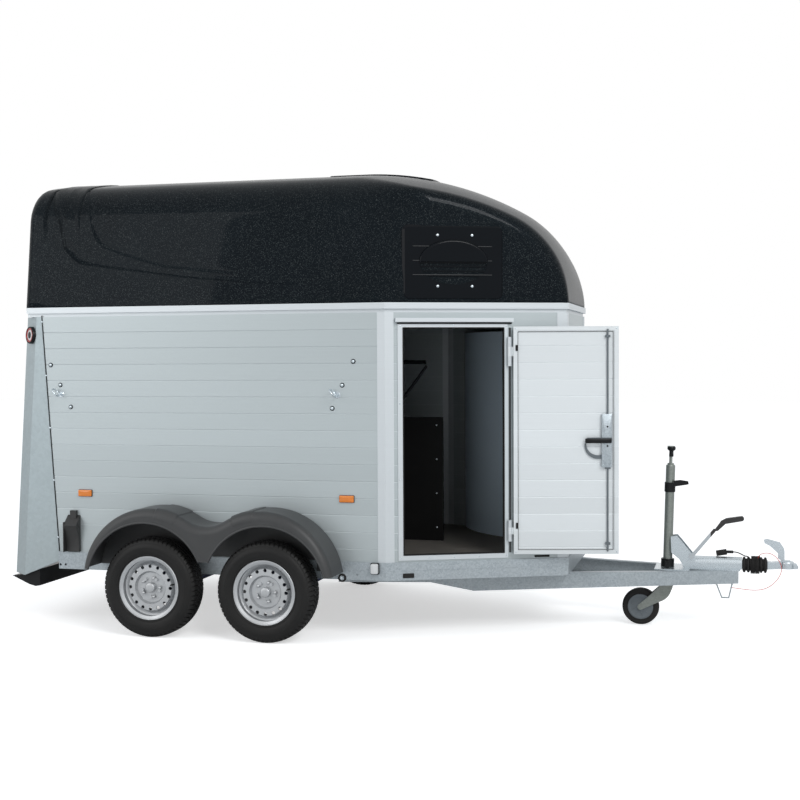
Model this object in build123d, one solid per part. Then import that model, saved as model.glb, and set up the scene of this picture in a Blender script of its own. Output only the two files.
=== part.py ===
from build123d import *
import math
import os

# Two-horse trailer, in millimetres. While it is modelled, X points forward from the corner between
# a side wall and an angled front panel, Y to the left and Z up from the ground. The finished pieces
# are moved so that the origin is the centre of the coupling's ball socket.

os.makedirs("parts", exist_ok=True)

# Plan of the body, to the outer faces of its walls
half_width = 850.0
side_length = 2240.0
nose_length = 971.0
nose_half = half_width - 435.0
wall_thick = 26.0
plank_pitch = 96.0
groove_half = 2.5
groove_depth = 1.6

# Heights above the ground
sill_bottom = 347.0
sill_top = 450.0
wall_top = 1866.0
rail_bottom = 1886.0
rail_top = 1921.0

# Sill and belt rail
sill_proud = 6.0
sill_flange = 60.0
sill_plate = 5.0
rail_proud = 10.0
recess = 6.0
rail_depth = 34.0
floor_thick = 18.0
cross_height = 103.0
cross_width = 50.0
cross_plate = 5.0
cross_positions = (-2060.0, -1700.0, -1010.0, -300.0, 330.0)

# Corner and nose posts
post_proud = 3.0
corner_back = 45.0
corner_front = 50.0
nose_post_wide = 60.0
nose_post_front = 48.0

# Rear posts and ramp, on a rear face that leans forward
rear_foot_x = -side_length - 138.0
rear_foot_z = 303.0
rear_lean = 3.7
chamfer_long = 98.0
chamfer_wide = 70.0
seam_foot_x = -side_length + 195.0
seam_top_x = -side_length + 94.0
post_depth = 50.0
post_inner_half = half_width - 90.0
ramp_gap = 10.0
ramp_thick = 45.0
ramp_foot = 120.0
ramp_height = 1440.0
hinge_pin_r = 8.0
running_gap = 0.05
ramp_hinge_out = 10.0
ramp_hinge_z = 105.0
ramp_hinge_y = (-520.0, 520.0)

# Holes in the sill's web: place along the side, height and radius
sill_holes = ((seam_foot_x + 10.0, 372.0, 7.0), (seam_foot_x + 44.0, 373.0, 7.0), (-167.0, 377.0, 6.0))

# Side profile of the light bar, from the rear posts' foot
light_bar_side = ((-5.0, -16.0), (98.0, -4.0), (183.0, 30.0), (183.0, -71.0), (152.0, -76.0), (111.0, -66.0))

# Groom door, along the right angled panel
door_left = 100.0
door_right = 690.0
door_bottom = 488.0
door_top = 1780.0
frame_side = 28.0
frame_edge = 20.0
frame_proud = 6.0
leaf_thick = 25.0
leaf_lap = 4.0
leaf_gap = 5.0
door_open_angle = 169.25
door_hinge_s = 716.0
door_hinge_r = 7.0
door_hinges = ((1559.0, 1725.0), (556.0, 677.0))
drip_bottom = 1811.0
drip_top = 1833.0
drip_proud = 28.0
drip_ends = (57.0, 740.0)

# Roof
roof_rear_x = -side_length - 25.0
roof_skin = 6.0
curtain_thick = 6.0
roof_crown = 2725.0
roof_side_top = (half_width - 60.8, roof_crown - 282.6)
roof_crown_edge = (half_width - 250.0, roof_crown - 70.0)
nose_turn_x = -270.0
nose_round = 615.0
nose_round_z = rail_top + 22.0
nose_depth = 400.0
crown_fade = 1.4
crown_sections = 5
roof_rear_round = 60.0
hatch_x = (-520.0, 130.0)
hatch_half = 250.0
hatch_rise = 15.0
hatch_flange = 22.0
hatch_flange_rise = 6.0
lip_proud = 3.0
lip_height = 9.0
swoosh_rise = 7.0
roof_reach = 150.0
roof_low = rail_top - 221.0
vent_s = (101.0, 687.0)
vent_z = (1933.0, 2360.0)
vent_thick = 12.0
vent_oval = (200.0, 130.0)
vent_dome = 16.0

# Wheels and axles
axle_xs = (-1360.0, -655.0)
tyre_r = 288.5
tyre_width = 172.0
rim_face_y = half_width + 213.0
rim_r = 182.5
bead_r = 168.0
rim_width = 148.0
spindle_r = 20.0
drum_r = 115.0
axle_tube_r = 32.0
arm_length = 150.0
arm_rise = 22.0
arm_thick = 18.0
arm_gap = 7.0
wheel_holes = 16
hole_ring_r = 124.0
hole_r = 10.0
stud_count = 5
stud_ring_r = 56.0

# Mudguards
guard_out_y = half_width + 250.0
guard_skin = 5.0
guard_foot = 391.0
guard_round = 46.0
hump_r = 424.0
hump_z = 326.0
hump_in = 14.0
valley_z = 655.0
arch_r = 368.0
arch_z = 302.0
arch_out = 10.0

# Drawbar
ball_x = 2205.0
ball_z = 372.0
beam_front_x = ball_x - 275.0
beam_front_y = 58.0
beam_slope = 0.263
beam_back_x = -340.0
beam_thick = 6.0
beam_flange = 42.0
beam_top = 347.0
beam_bottom = 252.0
beam_front_bottom = 275.0

# Coupling
ball_bore_r = 25.3
ball_skirt = 14.0
shaft_z = ball_z + 8.0
shaft_r = 22.0
housing_x = (ball_x - 555.0, ball_x - 255.0)
housing_r = 38.0
housing_lift = 6.0
bellows_x = (ball_x - 255.0, ball_x - 110.0)
bellows_r = 46.0
cable_r = 3.25
rope_r = 1.75
loop_r = 4.0
plug_r = 17.0

# Jockey wheel
jockey_x = ball_x - 698.0
jockey_lean = 1.7
jockey_tube_r = 27.0
jockey_leg_r = 21.0
jockey_wheel_r = 110.0
jockey_wheel_width = 65.0
jockey_trail = 150.0

# Inside
breast_bar_x = -170.0
post_x = (-190.0, -150.0)
board_front_x = 143.0
board_top = sill_top + 790.0
locker_centre = (nose_length - 1.0, half_width + 120.0)
locker_r = 870.0
locker_skin = 8.0
locker_top = wall_top - 91.0
locker_round = 130.0

panel_run = math.hypot(nose_length, half_width - nose_half)
panel_angle = math.degrees(math.atan2(half_width - nose_half, nose_length))
ball_place = Pos(-ball_x, 0, -ball_z)


def save(name, shape):
    """Writes one piece, moved to the ball socket's centre."""
    export_step(ball_place * shape, "parts/" + name + ".step")


def other_side(shape):
    return mirror(shape, about=Plane.XZ)


def block(x0, x1, y0, y1, z0, z1):
    return Pos((x0 + x1) / 2, (y0 + y1) / 2, (z0 + z1) / 2) * Box(x1 - x0, y1 - y0, z1 - z0)


def rod(a, b, radius):
    """A round bar from point a to point b."""
    line = Vector(*b) - Vector(*a)
    return extrude(Plane(origin=a, z_dir=line) * Circle(radius), line.length)


def plate(points, plane, amount):
    """A polygon on a plane, pulled along the plane's normal."""
    return extrude(plane * make_face(Polyline(*points, close=True)), amount)


def side_plane(y):
    """X to the right and Z up, with its normal towards -Y."""
    return Plane(origin=(0, y, 0), x_dir=(1, 0, 0), z_dir=(0, -1, 0))


def panel_point(s, out=0.0):
    """Plan position s along the right angled panel and out from its outer face."""
    a = math.radians(panel_angle)
    return (s * math.cos(a) + out * math.sin(a), -half_width + s * math.sin(a) - out * math.cos(a))


# From coordinates along the panel, inwards and up to the model's
panel_place = Pos(0, -half_width, 0) * Rot(0, 0, panel_angle)


def plan_points(out, rear_x):
    """The body's plan outline, moved out by a distance, with mitred corners."""
    a = math.radians(panel_angle)
    corner = (out * math.tan(a / 2), half_width + out)
    nose = (nose_length + out, nose_half + out * math.cos(a) / (1 + math.sin(a)))
    right = [(rear_x, -half_width - out), (corner[0], -corner[1]), (nose[0], -nose[1])]
    return right + [(x, -y) for x, y in reversed(right)]


def plan_solid(out, rear_x, z0, z1):
    return extrude(Pos(0, 0, z0) * make_face(Polyline(*plan_points(out, rear_x), close=True)), z1 - z0)


def plan_band(out, inner, rear_x, z0, z1):
    """A band that follows the sides and the front, open at the rear."""
    return plan_solid(out, rear_x, z0, z1) - plan_solid(inner, rear_x - 50, z0, z1)


def plank_grooves(a, b):
    """V-shaped seams between the planks, to cut from a face at Y = 0, between a and b along X."""
    edge = groove_half * (1 + 1 / groove_depth)
    profile = make_face(Polyline((-1, -edge), (groove_depth, 0), (-1, edge), close=True))
    count = int((wall_top - sill_top - groove_half) / plank_pitch)
    return Compound([Pos(a, 0, wall_top - (i + 1) * plank_pitch) * extrude(Plane.YZ * profile, b - a)
                     for i in range(count)])


# Chassis

def sill_channel():
    """A channel that is open to the inside, round the whole body."""
    rear = seam_foot_x
    web = plan_band(sill_proud, sill_proud - sill_plate, rear, sill_bottom, sill_top)
    upper = plan_band(sill_proud, -sill_flange, rear, sill_top - sill_plate, sill_top)
    lower = plan_band(sill_proud, -sill_flange, rear, sill_bottom, sill_bottom + sill_plate)
    band = plan_band(sill_proud + 3, sill_proud, rear, (sill_bottom + sill_top) / 2 + 5, sill_top)
    return web + upper + lower + band


def sills():
    ring = sill_channel()
    cut = nose_length - sill_flange
    right = ring & block(seam_foot_x, cut, -half_width - 20, -1, 0, sill_top)
    nose = ring & block(cut, nose_length + 20, -nose_half, nose_half, 0, sill_top)
    rest = block(cut, nose_length + 20, -half_width, -nose_half, 0, sill_top) & ring
    right = right + rest
    for x, z, hole_size in sill_holes:
        right -= rod((x, -half_width - 30, z), (x, -half_width + 8, z), hole_size)
    save("sill_right", right)
    save("sill_left", other_side(right))
    save("sill_nose", nose)


def cross_members():
    """Channels between the sills' webs, open to the front."""
    half = half_width - sill_flange
    section = block(0, cross_width, -half, half, sill_top - cross_height, sill_top)
    hollow = block(cross_plate, cross_width + 1, -half, half,
                   sill_top - cross_height + cross_plate, sill_top - cross_plate)
    channel = section - hollow
    bars = [Pos(x, 0, 0) * channel for x in cross_positions[:-1]]
    inside = plan_solid(-sill_flange, seam_foot_x, 0, sill_top)
    bars.append((Pos(cross_positions[-1], 0, 0) * channel) & inside)
    save("cross_members", Compound(bars))


def floor_panel():
    save("floor", plan_solid(-wall_thick, seam_foot_x + 5, sill_top, sill_top + floor_thick)
         + block(rear_foot_x + 110, seam_foot_x + 5, -post_inner_half, post_inner_half,
                 sill_top, sill_top + floor_thick))


def drawbar_beams():
    """Folded channels that run from the coupling back under the floor, deeper towards the body."""
    turn = math.atan(beam_slope)
    stretch = 1 / math.cos(turn)
    t = beam_thick
    low = [(beam_front_x, beam_front_bottom), (425, beam_bottom - 12), (180, beam_top - 55),
           (beam_back_x, beam_top - 50)]
    outline = [(beam_front_x, beam_top)] + low + [(beam_back_x, beam_top)]
    inside = ([(beam_front_x + 1, beam_top - t)] + [(x, z + t) for x, z in low]
              + [(beam_back_x - 1, beam_top - t)])
    local = [[((x - beam_front_x) * stretch, z) for x, z in points] for points in (outline, inside)]
    beam = plate(local[0], side_plane(0), -beam_flange) - plate(local[1], side_plane(t), -beam_flange)
    right = Pos(beam_front_x, -beam_front_y, 0) * Rot(0, 0, math.degrees(turn)) * beam
    save("drawbar_right", right)
    save("drawbar_left", other_side(right))


# Body

def wall_seam_x(z):
    """The slanted seam between side wall and rear post."""
    share = (z - sill_top) / (wall_top - sill_top)
    return seam_foot_x + share * (seam_top_x - seam_foot_x)


def side_walls():
    points = [(wall_seam_x(sill_top), sill_top), (-corner_back, sill_top),
              (-corner_back, wall_top), (wall_seam_x(wall_top), wall_top)]
    right = plate(points, side_plane(-half_width), -wall_thick)
    right -= Pos(0, -half_width, 0) * plank_grooves(-side_length, -corner_back)
    save("wall_right", right)
    save("wall_left", other_side(right))


def front_panels():
    s1 = panel_run - nose_post_wide
    plain = block(corner_front, s1, 0, wall_thick, sill_top, wall_top) - plank_grooves(corner_front, s1)
    hole = block(door_left - frame_side, door_right + frame_edge, -1, wall_thick + 1,
                 door_bottom - frame_side, door_top + frame_edge)
    save("panel_right", panel_place * (plain - hole))
    save("panel_left", other_side(panel_place * plain))
    half = nose_half - nose_post_front
    nose = block(nose_length - wall_thick, nose_length, -half, half, sill_top, wall_top)
    save("nose_panel", nose - Pos(nose_length, 0, 0) * Rot(0, 0, 90) * plank_grooves(-half, half))


def corner_region():
    points = [(-corner_back, -half_width - 70), panel_point(corner_front, 70),
              panel_point(corner_front, -wall_thick), (-corner_back, -half_width + wall_thick + 5)]
    return plate(points, Plane.XY, 3000)


def nose_region():
    s1 = panel_run - nose_post_wide
    half = nose_half - nose_post_front
    points = [panel_point(s1, 70), (nose_length + 90, -nose_half - 60), (nose_length + 90, -half),
              (nose_length - wall_thick, -half), panel_point(s1, -wall_thick - 4)]
    return plate(points, Plane.XY, 3000)


def body_frame():
    """Belt rail round the top of the walls, with the four front posts that carry it."""
    rear = -side_length
    rail = plan_band(rail_proud, -rail_depth, rear, rail_bottom, rail_top)
    strip = plan_band(-recess, -rail_depth, rear, wall_top, rail_bottom)
    skin = plan_band(post_proud, -wall_thick, rear, sill_top, wall_top)
    corner = skin & corner_region()
    nose = skin & nose_region()
    posts = corner + nose
    frame = rail + strip + posts + other_side(posts)
    save("body_frame", frame)


def door_frame():
    """Frame round the groom door with the drip rail over it and the fixed hinge lugs."""
    outer = block(door_left - frame_side, door_right + frame_edge, -frame_proud, wall_thick,
                  door_bottom - frame_side, door_top + frame_edge)
    inner = block(door_left, door_right, -frame_proud - 1, wall_thick + 1, door_bottom, door_top)
    drip = block(drip_ends[0], drip_ends[1], -drip_proud, 0, drip_bottom, drip_top)
    out = frame_proud + leaf_gap + leaf_thick / 2
    frame = outer - inner
    for low, high in door_hinges:
        third = (high - low) / 3
        for z in (low, high - third):
            lug = block(door_hinge_s - 2, door_hinge_s + 2, -out, 0, z, z + third)
            foot = block(door_hinge_s - 2, door_hinge_s + 22, -4, 0, z, z + third)
            barrel = Pos(door_hinge_s, -out, z) * Cylinder(
                door_hinge_r + 5, third, align=(Align.CENTER, Align.CENTER, Align.MIN))
            frame += lug + foot + barrel
        pin = Pos(door_hinge_s, -out, low) * Cylinder(
            door_hinge_r, high - low, align=(Align.CENTER, Align.CENTER, Align.MIN))
        frame += pin
    save("door_frame", panel_place * Compound([frame, drip]))


def groom_door():
    """The leaf, drawn closed in front of the frame and then swung open about its hinge pins."""
    out = frame_proud + leaf_gap + leaf_thick / 2
    s0, s1 = door_left - leaf_lap, door_right + leaf_lap
    z0, z1 = door_bottom - leaf_lap, door_top + leaf_lap
    leaf = block(s0, s1, -out - leaf_thick / 2, -out + leaf_thick / 2, z0, z1)
    border = 24.0
    back = -out + leaf_thick / 2 - 4
    leaf -= block(s0 + border, s1 - border, back, 0, z0 + border, z1 - border)
    leaf -= Pos(0, -out - leaf_thick / 2, 0) * plank_grooves(s0 + border, s1 - border)
    leaf -= Pos(0, back, 0) * Rot(0, 0, 180) * plank_grooves(border - s1, -border - s0)
    for low, high in door_hinges:
        third = (high - low) / 3
        z = low + third + 0.5
        tall = third - 1.0
        strap = block(s1 - 60, door_hinge_s, -out - 4, -out + 4, z, z + tall)
        barrel = Pos(door_hinge_s, -out, z) * Cylinder(
            door_hinge_r + 5, tall, align=(Align.CENTER, Align.CENTER, Align.MIN))
        bore = Pos(door_hinge_s, -out, z - 1) * Cylinder(
            door_hinge_r + running_gap, tall + 2, align=(Align.CENTER, Align.CENTER, Align.MIN))
        leaf = leaf + strap + barrel - bore
    axis = Pos(door_hinge_s, -out, 0)
    swing = panel_place * axis * Rot(0, 0, door_open_angle) * axis.inverse()
    save("door_leaf", swing * leaf)
    save("door_lock", swing * door_lock(s0 + 64, back))


def door_lock(s, back):
    """Rod lock on the leaf's inner face, with its case, lever and curved release handle."""
    case_low, case_high = 1000.0, 1266.0
    half = 22.0
    lock = block(s - half, s + half, back, back + half, case_low, case_high)
    lock += block(s - half + 6, s + half - 6, back, back + 14, case_low - 28, case_low)
    for z_low, z_high in ((case_high, door_top - 12), (door_bottom + 12, case_low - 28)):
        lock += rod((s, back + 10, z_low), (s, back + 10, z_high), 5)
    for z in (door_top - 60, door_bottom + 50):
        lock += block(s - 14, s + 14, back, back + 18, z, z + 14)
    lever_z = 1140.0
    lock += block(s - half, s + 118, back + half, back + half + 9, lever_z - 11, lever_z + 11)
    with BuildLine() as outline:
        ThreePointArc((s + half, 1058), (s + 100, 1066), (s + 122, 1118))
        Line((s + 122, 1118), (s + 130, 1116))
        ThreePointArc((s + 130, 1116), (s + 106, 1048), (s + half, 1036))
        Line((s + half, 1036), (s + half, 1058))
    handle = Pos(0, back + 10, 0) * extrude(side_plane(0) * make_face(outline.line), 7)
    return lock + handle


# Rear end

rear_place = Pos(rear_foot_x, 0, rear_foot_z) * Rot(0, rear_lean, 0)


def rear_posts():
    """Posts with a wide chamfer on their rear corner, cut to the slanted seam in side view."""
    plan = [(0, -half_width + chamfer_wide), (chamfer_long, -half_width), (400, -half_width),
            (400, -half_width + post_depth), (chamfer_long + 12, -half_width + post_depth),
            (chamfer_long + 12, -post_inner_half), (0, -post_inner_half)]
    upright = rear_place * plate(plan, Plane.XY, 1700)
    side = [(rear_foot_x - 50, rear_foot_z - 20), (rear_foot_x + 98, rear_foot_z - 4),
            (seam_foot_x, sill_bottom + 46), (seam_foot_x, sill_top), (seam_top_x, wall_top),
            (rear_foot_x - 50, wall_top)]
    right = upright & plate(side, side_plane(-half_width - 20), -400)
    save("rear_post_right", right)
    save("rear_post_left", other_side(right))


def rear_beam():
    """Cross beam under the ramp with the hinge lugs and pins."""
    beam = block(ramp_hinge_out + 22, 108, -post_inner_half, post_inner_half, 40, ramp_foot - 10)
    for y in ramp_hinge_y:
        for side in (-1, 1):
            beam += block(ramp_hinge_out - 2, ramp_hinge_out + 24, y + side * 45 - 8, y + side * 45 + 8,
                          ramp_hinge_z - 14, ramp_hinge_z + 5)
        beam += rod((ramp_hinge_out, y - 53, ramp_hinge_z), (ramp_hinge_out, y + 53, ramp_hinge_z),
                    hinge_pin_r)
    save("rear_beam", rear_place * beam)


def ramp():
    half = post_inner_half - ramp_gap
    panel = block(0, ramp_thick, -half, half, ramp_foot, ramp_foot + ramp_height)
    for y in ramp_hinge_y:
        barrel = rod((ramp_hinge_out, y - 36, ramp_hinge_z), (ramp_hinge_out, y + 36, ramp_hinge_z),
                     hinge_pin_r + 5)
        web = block(ramp_hinge_out - 6, ramp_hinge_out + 6, y - 36, y + 36, ramp_hinge_z, ramp_foot)
        bore = rod((ramp_hinge_out, y - 37, ramp_hinge_z), (ramp_hinge_out, y + 37, ramp_hinge_z),
                   hinge_pin_r + running_gap)
        panel = panel + barrel + web - bore
    save("ramp", rear_place * panel)


def light_bar():
    """Wedge-shaped moulding under the rear end, from one rear post's foot to the other's."""
    side = [(rear_foot_x + x, rear_foot_z + z) for x, z in light_bar_side]
    half = half_width - 30.0
    save("light_bar", plate(side, side_plane(-half), -2 * half))


# Roof

def crown_radius():
    y2, z2 = roof_crown_edge
    drop = roof_crown - z2
    return (y2 * y2 + drop * drop) / (2 * drop)


def roof_section(inset, level):
    """Cross-section: leaning sides and round shoulders, under a shallow crown or under two slopes
    that only touch it at the shoulders."""
    y1, z1 = roof_side_top
    y2, z2 = roof_crown_edge
    lean = (half_width - y1) / (z1 - rail_top)
    foot = half_width + (rail_top - roof_low) * lean
    slope = math.tan(math.asin(y2 / crown_radius()))
    with BuildLine() as outline:
        Line((foot, roof_low), (y1, z1))
        TangentArc((y1, z1), (y2, z2), tangent=(y1 - foot, z1 - roof_low))
        if level:
            ThreePointArc((y2, z2), (0, roof_crown), (-y2, z2))
        else:
            Line((y2, z2), (0, z2 + y2 * slope))
            Line((0, z2 + y2 * slope), (-y2, z2))
        TangentArc((-y1, z1), (-y2, z2), tangent=(foot - y1, z1 - roof_low))
        Line((-y1, z1), (-foot, roof_low))
        Line((-foot, roof_low), (foot, roof_low))
    face = make_face(outline.line)
    return offset(face, -inset) if inset else face


def crown_face(x, z, turn, radius):
    """A wide section with the crown on top, square to the roof's side profile."""
    wide = half_width + 50.0
    sag = radius - math.sqrt(radius ** 2 - wide ** 2)
    with BuildLine() as outline:
        ThreePointArc((-wide, -sag), (0, 0), (wide, -sag))
        Line((wide, -sag), (wide, -nose_depth))
        Line((wide, -nose_depth), (-wide, -nose_depth))
        Line((-wide, -nose_depth), (-wide, -sag))
    return Pos(x, 0, z) * Rot(0, turn, 0) * (Plane.YZ * make_face(outline.line))


def nose_form(inset):
    """All that lies under the crown where it bends down to the belt rail in two tangent arcs. The
    crown fades out along the second one."""
    centre_x = nose_length - nose_round
    lift = roof_crown - nose_round_z
    long_r = ((centre_x - nose_turn_x) ** 2 + lift ** 2 - nose_round ** 2) / (2 * (lift - nose_round))
    turn = math.degrees(math.atan2(centre_x - nose_turn_x, nose_round_z - roof_crown + long_r))
    first = revolve(crown_face(nose_turn_x, roof_crown - inset, 0, crown_radius() - inset),
                    Axis((nose_turn_x, 0, roof_crown - long_r), (0, 1, 0)), turn)
    sections = []
    for i in range(crown_sections):
        share = i / (crown_sections - 1)
        angle = turn + share * (90 - turn)
        reach = nose_round - inset
        curve = max(1 - share ** crown_fade, 0.02)
        sections.append(crown_face(centre_x + reach * math.sin(math.radians(angle)),
                                   nose_round_z + reach * math.cos(math.radians(angle)),
                                   angle, (crown_radius() - inset) / curve))
    second = loft(sections)
    wide = half_width + 50.0
    deep = nose_round - nose_depth / 2
    core = [(nose_turn_x, roof_low), (nose_turn_x, roof_crown - nose_depth / 2)]
    for angle in (turn, (90 + turn) / 2, 90):
        core.append((centre_x + deep * math.sin(math.radians(angle)),
                     nose_round_z + deep * math.cos(math.radians(angle))))
    core.append((centre_x + deep, roof_low))
    foot = block(centre_x, nose_length - inset, -wide, wide, roof_low, nose_round_z)
    return first + second + plate(core, side_plane(-wide), -2 * wide) + foot


def roof_form(inset, rear_x, foot):
    top = roof_crown + roof_reach
    plan = plan_solid(-inset, rear_x, foot, top)
    if inset == 0:
        plan = fillet(plan.edges().filter_by(Axis.Z).sort_by(Axis.X)[:2], roof_rear_round)
    wide = half_width + 50.0
    level = plan & block(rear_x, nose_turn_x, -wide, wide, foot, top)
    level &= extrude(Plane.YZ.offset(rear_x) * roof_section(inset, True), nose_turn_x - rear_x)
    front = plan & extrude(Plane.YZ.offset(nose_turn_x) * roof_section(inset, False),
                           nose_length + roof_reach - nose_turn_x)
    return level + (front & nose_form(inset))


def swoosh_band():
    """Raised band that sweeps back along the side and up over the roof, as a side-view outline."""
    over = roof_crown + roof_reach
    with BuildLine() as outline:
        Line((-2160, over), (-2133, 2634))
        Line((-2133, 2634), (-2032, 2391))
        ThreePointArc((-2032, 2391), (-1985, 2248), (-1868, 2178))
        ThreePointArc((-1868, 2178), (-1240, 2090), (-439, 2030))
        ThreePointArc((-439, 2030), (-949, 2114), (-1576, 2216))
        ThreePointArc((-1576, 2216), (-1748, 2280), (-1818, 2373))
        Line((-1818, 2373), (-1913, 2624))
        Line((-1913, 2624), (-1940, over))
        Line((-1940, over), (-2160, over))
    wide = half_width + 50.0
    prism = extrude(side_plane(-wide) * make_face(outline.line), -2 * wide)
    start = roof_rear_x + roof_rear_round
    return prism & extrude(Plane.YZ.offset(start) * roof_section(-swoosh_rise, True), nose_turn_x - start)


def roof():
    outer = roof_form(0, roof_rear_x, rail_top)
    inner = roof_form(roof_skin, roof_rear_x - 40, rail_top - 1)
    lip = plan_band(lip_proud, -roof_skin, roof_rear_x + roof_rear_round, rail_top, rail_top + lip_height)
    save("roof", outer + swoosh_band() + lip - inner)
    raised = roof_form(-hatch_rise, roof_rear_x, roof_crown - 2 * roof_reach)
    lid = block(*hatch_x, -hatch_half, hatch_half, roof_crown - roof_reach, roof_crown + roof_reach)
    lid = fillet(lid.edges().filter_by(Axis.Z), 60)
    flange = block(hatch_x[0] - hatch_flange, hatch_x[1] + hatch_flange, -hatch_half - hatch_flange,
                   hatch_half + hatch_flange, roof_crown - roof_reach, roof_crown + roof_reach)
    flange = fillet(flange.edges().filter_by(Axis.Z), 60 + hatch_flange)
    flange &= Pos(0, 0, hatch_flange_rise - hatch_rise) * raised
    save("roof_hatch", (lid & raised) + flange - outer)


def vents():
    """Trays with sloping edges on the angled faces: a dome over the upper half of an oval and a sunk
    scoop with slats in the lower half."""
    wide, tall = vent_s[1] - vent_s[0], vent_z[1] - vent_z[0]
    tray = extrude(Plane.XZ * RectangleRounded(wide, tall, 40), vent_thick, taper=48)
    oval = Plane.XZ.offset(vent_thick) * Ellipse(vent_oval[0], vent_oval[1])
    upper = block(-wide, wide, -100, 100, 4, tall)
    dome = extrude(oval, vent_dome)
    dome = fillet(dome.edges().sort_by(Axis.Y)[:1], vent_dome - 2) & upper
    scoop = extrude(Plane.XZ.offset(vent_thick - 8) * Ellipse(vent_oval[0] - 6, vent_oval[1] - 6), 20)
    tray -= scoop & block(-wide, wide, -100, 100, -tall, -4)
    for k in range(3):
        z = -22.0 - 26.0 * k
        reach = vent_oval[0] * math.sqrt(1 - (z / vent_oval[1]) ** 2) - 8
        tray += block(-reach, reach, -vent_thick, -vent_thick + 9, z - 4, z + 4)
    place = Pos((vent_s[0] + vent_s[1]) / 2, 0, (vent_z[0] + vent_z[1]) / 2)
    right = panel_place * place * (tray + dome)
    save("vent_right", right)
    save("vent_left", other_side(right))


def rear_curtain():
    """Fabric blind that closes the opening between the ramp and the roof."""
    low = rear_foot_z + ramp_foot + ramp_height
    half = post_inner_half - 5
    upper = (extrude(Plane.YZ * roof_section(roof_skin + 1, True), curtain_thick)
             & block(-10, 10, -half_width, half_width, rail_top + 1, roof_crown + roof_reach))
    lower = block(0, curtain_thick, -half, half, low, rail_top + 1)
    save("rear_curtain", Pos(roof_rear_x + 40, 0, 0) * (upper + lower))


# Running gear

def wheel(x, side, name):
    """Tyre and steel rim, drawn about the Y axis with the outer face towards -Y."""
    half = tyre_width / 2
    w = rim_width / 2
    with BuildLine() as outline:
        Line((bead_r, -w + 12), (rim_r, -w + 4))
        Line((rim_r, -w + 4), (rim_r + 8, -half + 10))
        ThreePointArc((rim_r + 8, -half + 10), (rim_r + 48, -half), (tyre_r - 26, -half + 12))
        ThreePointArc((tyre_r - 26, -half + 12), (tyre_r - 7, -half + 22), (tyre_r - 1, -half + 42))
        ThreePointArc((tyre_r - 1, -half + 42), (tyre_r, 0), (tyre_r - 1, half - 42))
        ThreePointArc((tyre_r - 1, half - 42), (tyre_r - 7, half - 22), (tyre_r - 26, half - 12))
        ThreePointArc((tyre_r - 26, half - 12), (rim_r + 48, half), (rim_r + 8, half - 10))
        Line((rim_r + 8, half - 10), (rim_r, w - 4))
        Line((rim_r, w - 4), (bead_r, w - 12))
        Line((bead_r, w - 12), (bead_r, -w + 12))
    tyre = revolve(make_face(outline.line), Axis.Y)
    rim_points = [(rim_r, -w), (rim_r, -w + 4), (bead_r, -w + 12), (bead_r, -w + 40), (bead_r - 22, -w + 52),
                  (bead_r - 22, w - 40), (bead_r, w - 30), (bead_r, w - 12), (rim_r, w - 4), (rim_r, w),
                  (rim_r - 5, w), (bead_r - 4, w - 8), (bead_r - 5, w - 32), (bead_r - 27, w - 42),
                  (bead_r - 27, -w + 54), (bead_r - 5, -w + 40), (bead_r - 5, -w + 8), (rim_r - 5, -w)]
    barrel = revolve(make_face(Polyline(*rim_points, close=True)), Axis.Y)
    disc_points = [(spindle_r + running_gap, -34), (86, -34), (96, -52), (132, -52), (bead_r - 25, -18),
                   (bead_r - 25, -12), (130, -46), (98, -46), (88, -26), (spindle_r + running_gap, -26)]
    disc = revolve(make_face(Polyline(*disc_points, close=True)), Axis.Y)
    hole = Pos(hole_ring_r, -50, 0) * Rot(90, 0, 0) * Cylinder(hole_r, 30)
    holes = [Rot(0, 360 / wheel_holes * i, 0) * hole for i in range(wheel_holes)]
    cap_outline = Polyline((0, -60), (24, -60), (28.5, -54), (28.5, -34), (0, -34), close=True)
    cap = revolve(make_face(cap_outline), Axis.Y)
    studs = [Rot(0, 360 / stud_count * i + 18, 0) * Pos(stud_ring_r, -34, 0) * Rot(90, 0, 0)
             * extrude(RegularPolygon(10, 6), 14) for i in range(stud_count)]
    rim = barrel + disc - Compound(holes)
    rim = rim + cap + studs
    place = Pos(x, -rim_face_y + w, tyre_r)
    for kind, piece in (("tyre", tyre), ("rim", rim)):
        right = place * piece
        save(kind + "_" + name, right if side < 0 else other_side(right))


def axle(x, name):
    """Cross tube with trailing arms, brake drums and the spindles that the wheels turn on."""
    tube_x = x + arm_length
    tube_z = tyre_r + arm_rise
    reach = rim_face_y - rim_width / 2
    arm_in = half_width + sill_proud + 3 + arm_gap
    beam = rod((tube_x, -arm_in - 5, tube_z), (tube_x, arm_in + 5, tube_z), axle_tube_r)
    arm_points = [(tube_x + 34, tube_z - 30), (tube_x + 34, tube_z + 30), (x - 10, tyre_r + 34),
                  (x - 34, tyre_r), (x - 10, tyre_r - 34)]
    for side in (-1, 1):
        arm_y = arm_in if side > 0 else -arm_in - arm_thick
        beam += plate(arm_points, side_plane(arm_y), -arm_thick)
        for y0, y1, r in ((arm_in + arm_thick - 1, reach - 78, 30), (reach - 78, reach - 18, drum_r),
                          (reach - 18, reach + 33.5, spindle_r)):
            beam += rod((x, side * y0, tyre_r), (x, side * y1, tyre_r), r)
        seat = sorted((side * (half_width - 20), side * (half_width - 12)))
        beam += block(tube_x - 45, tube_x + 45, seat[0], seat[1], tube_z, sill_bottom)
    save(name, beam)


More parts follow.
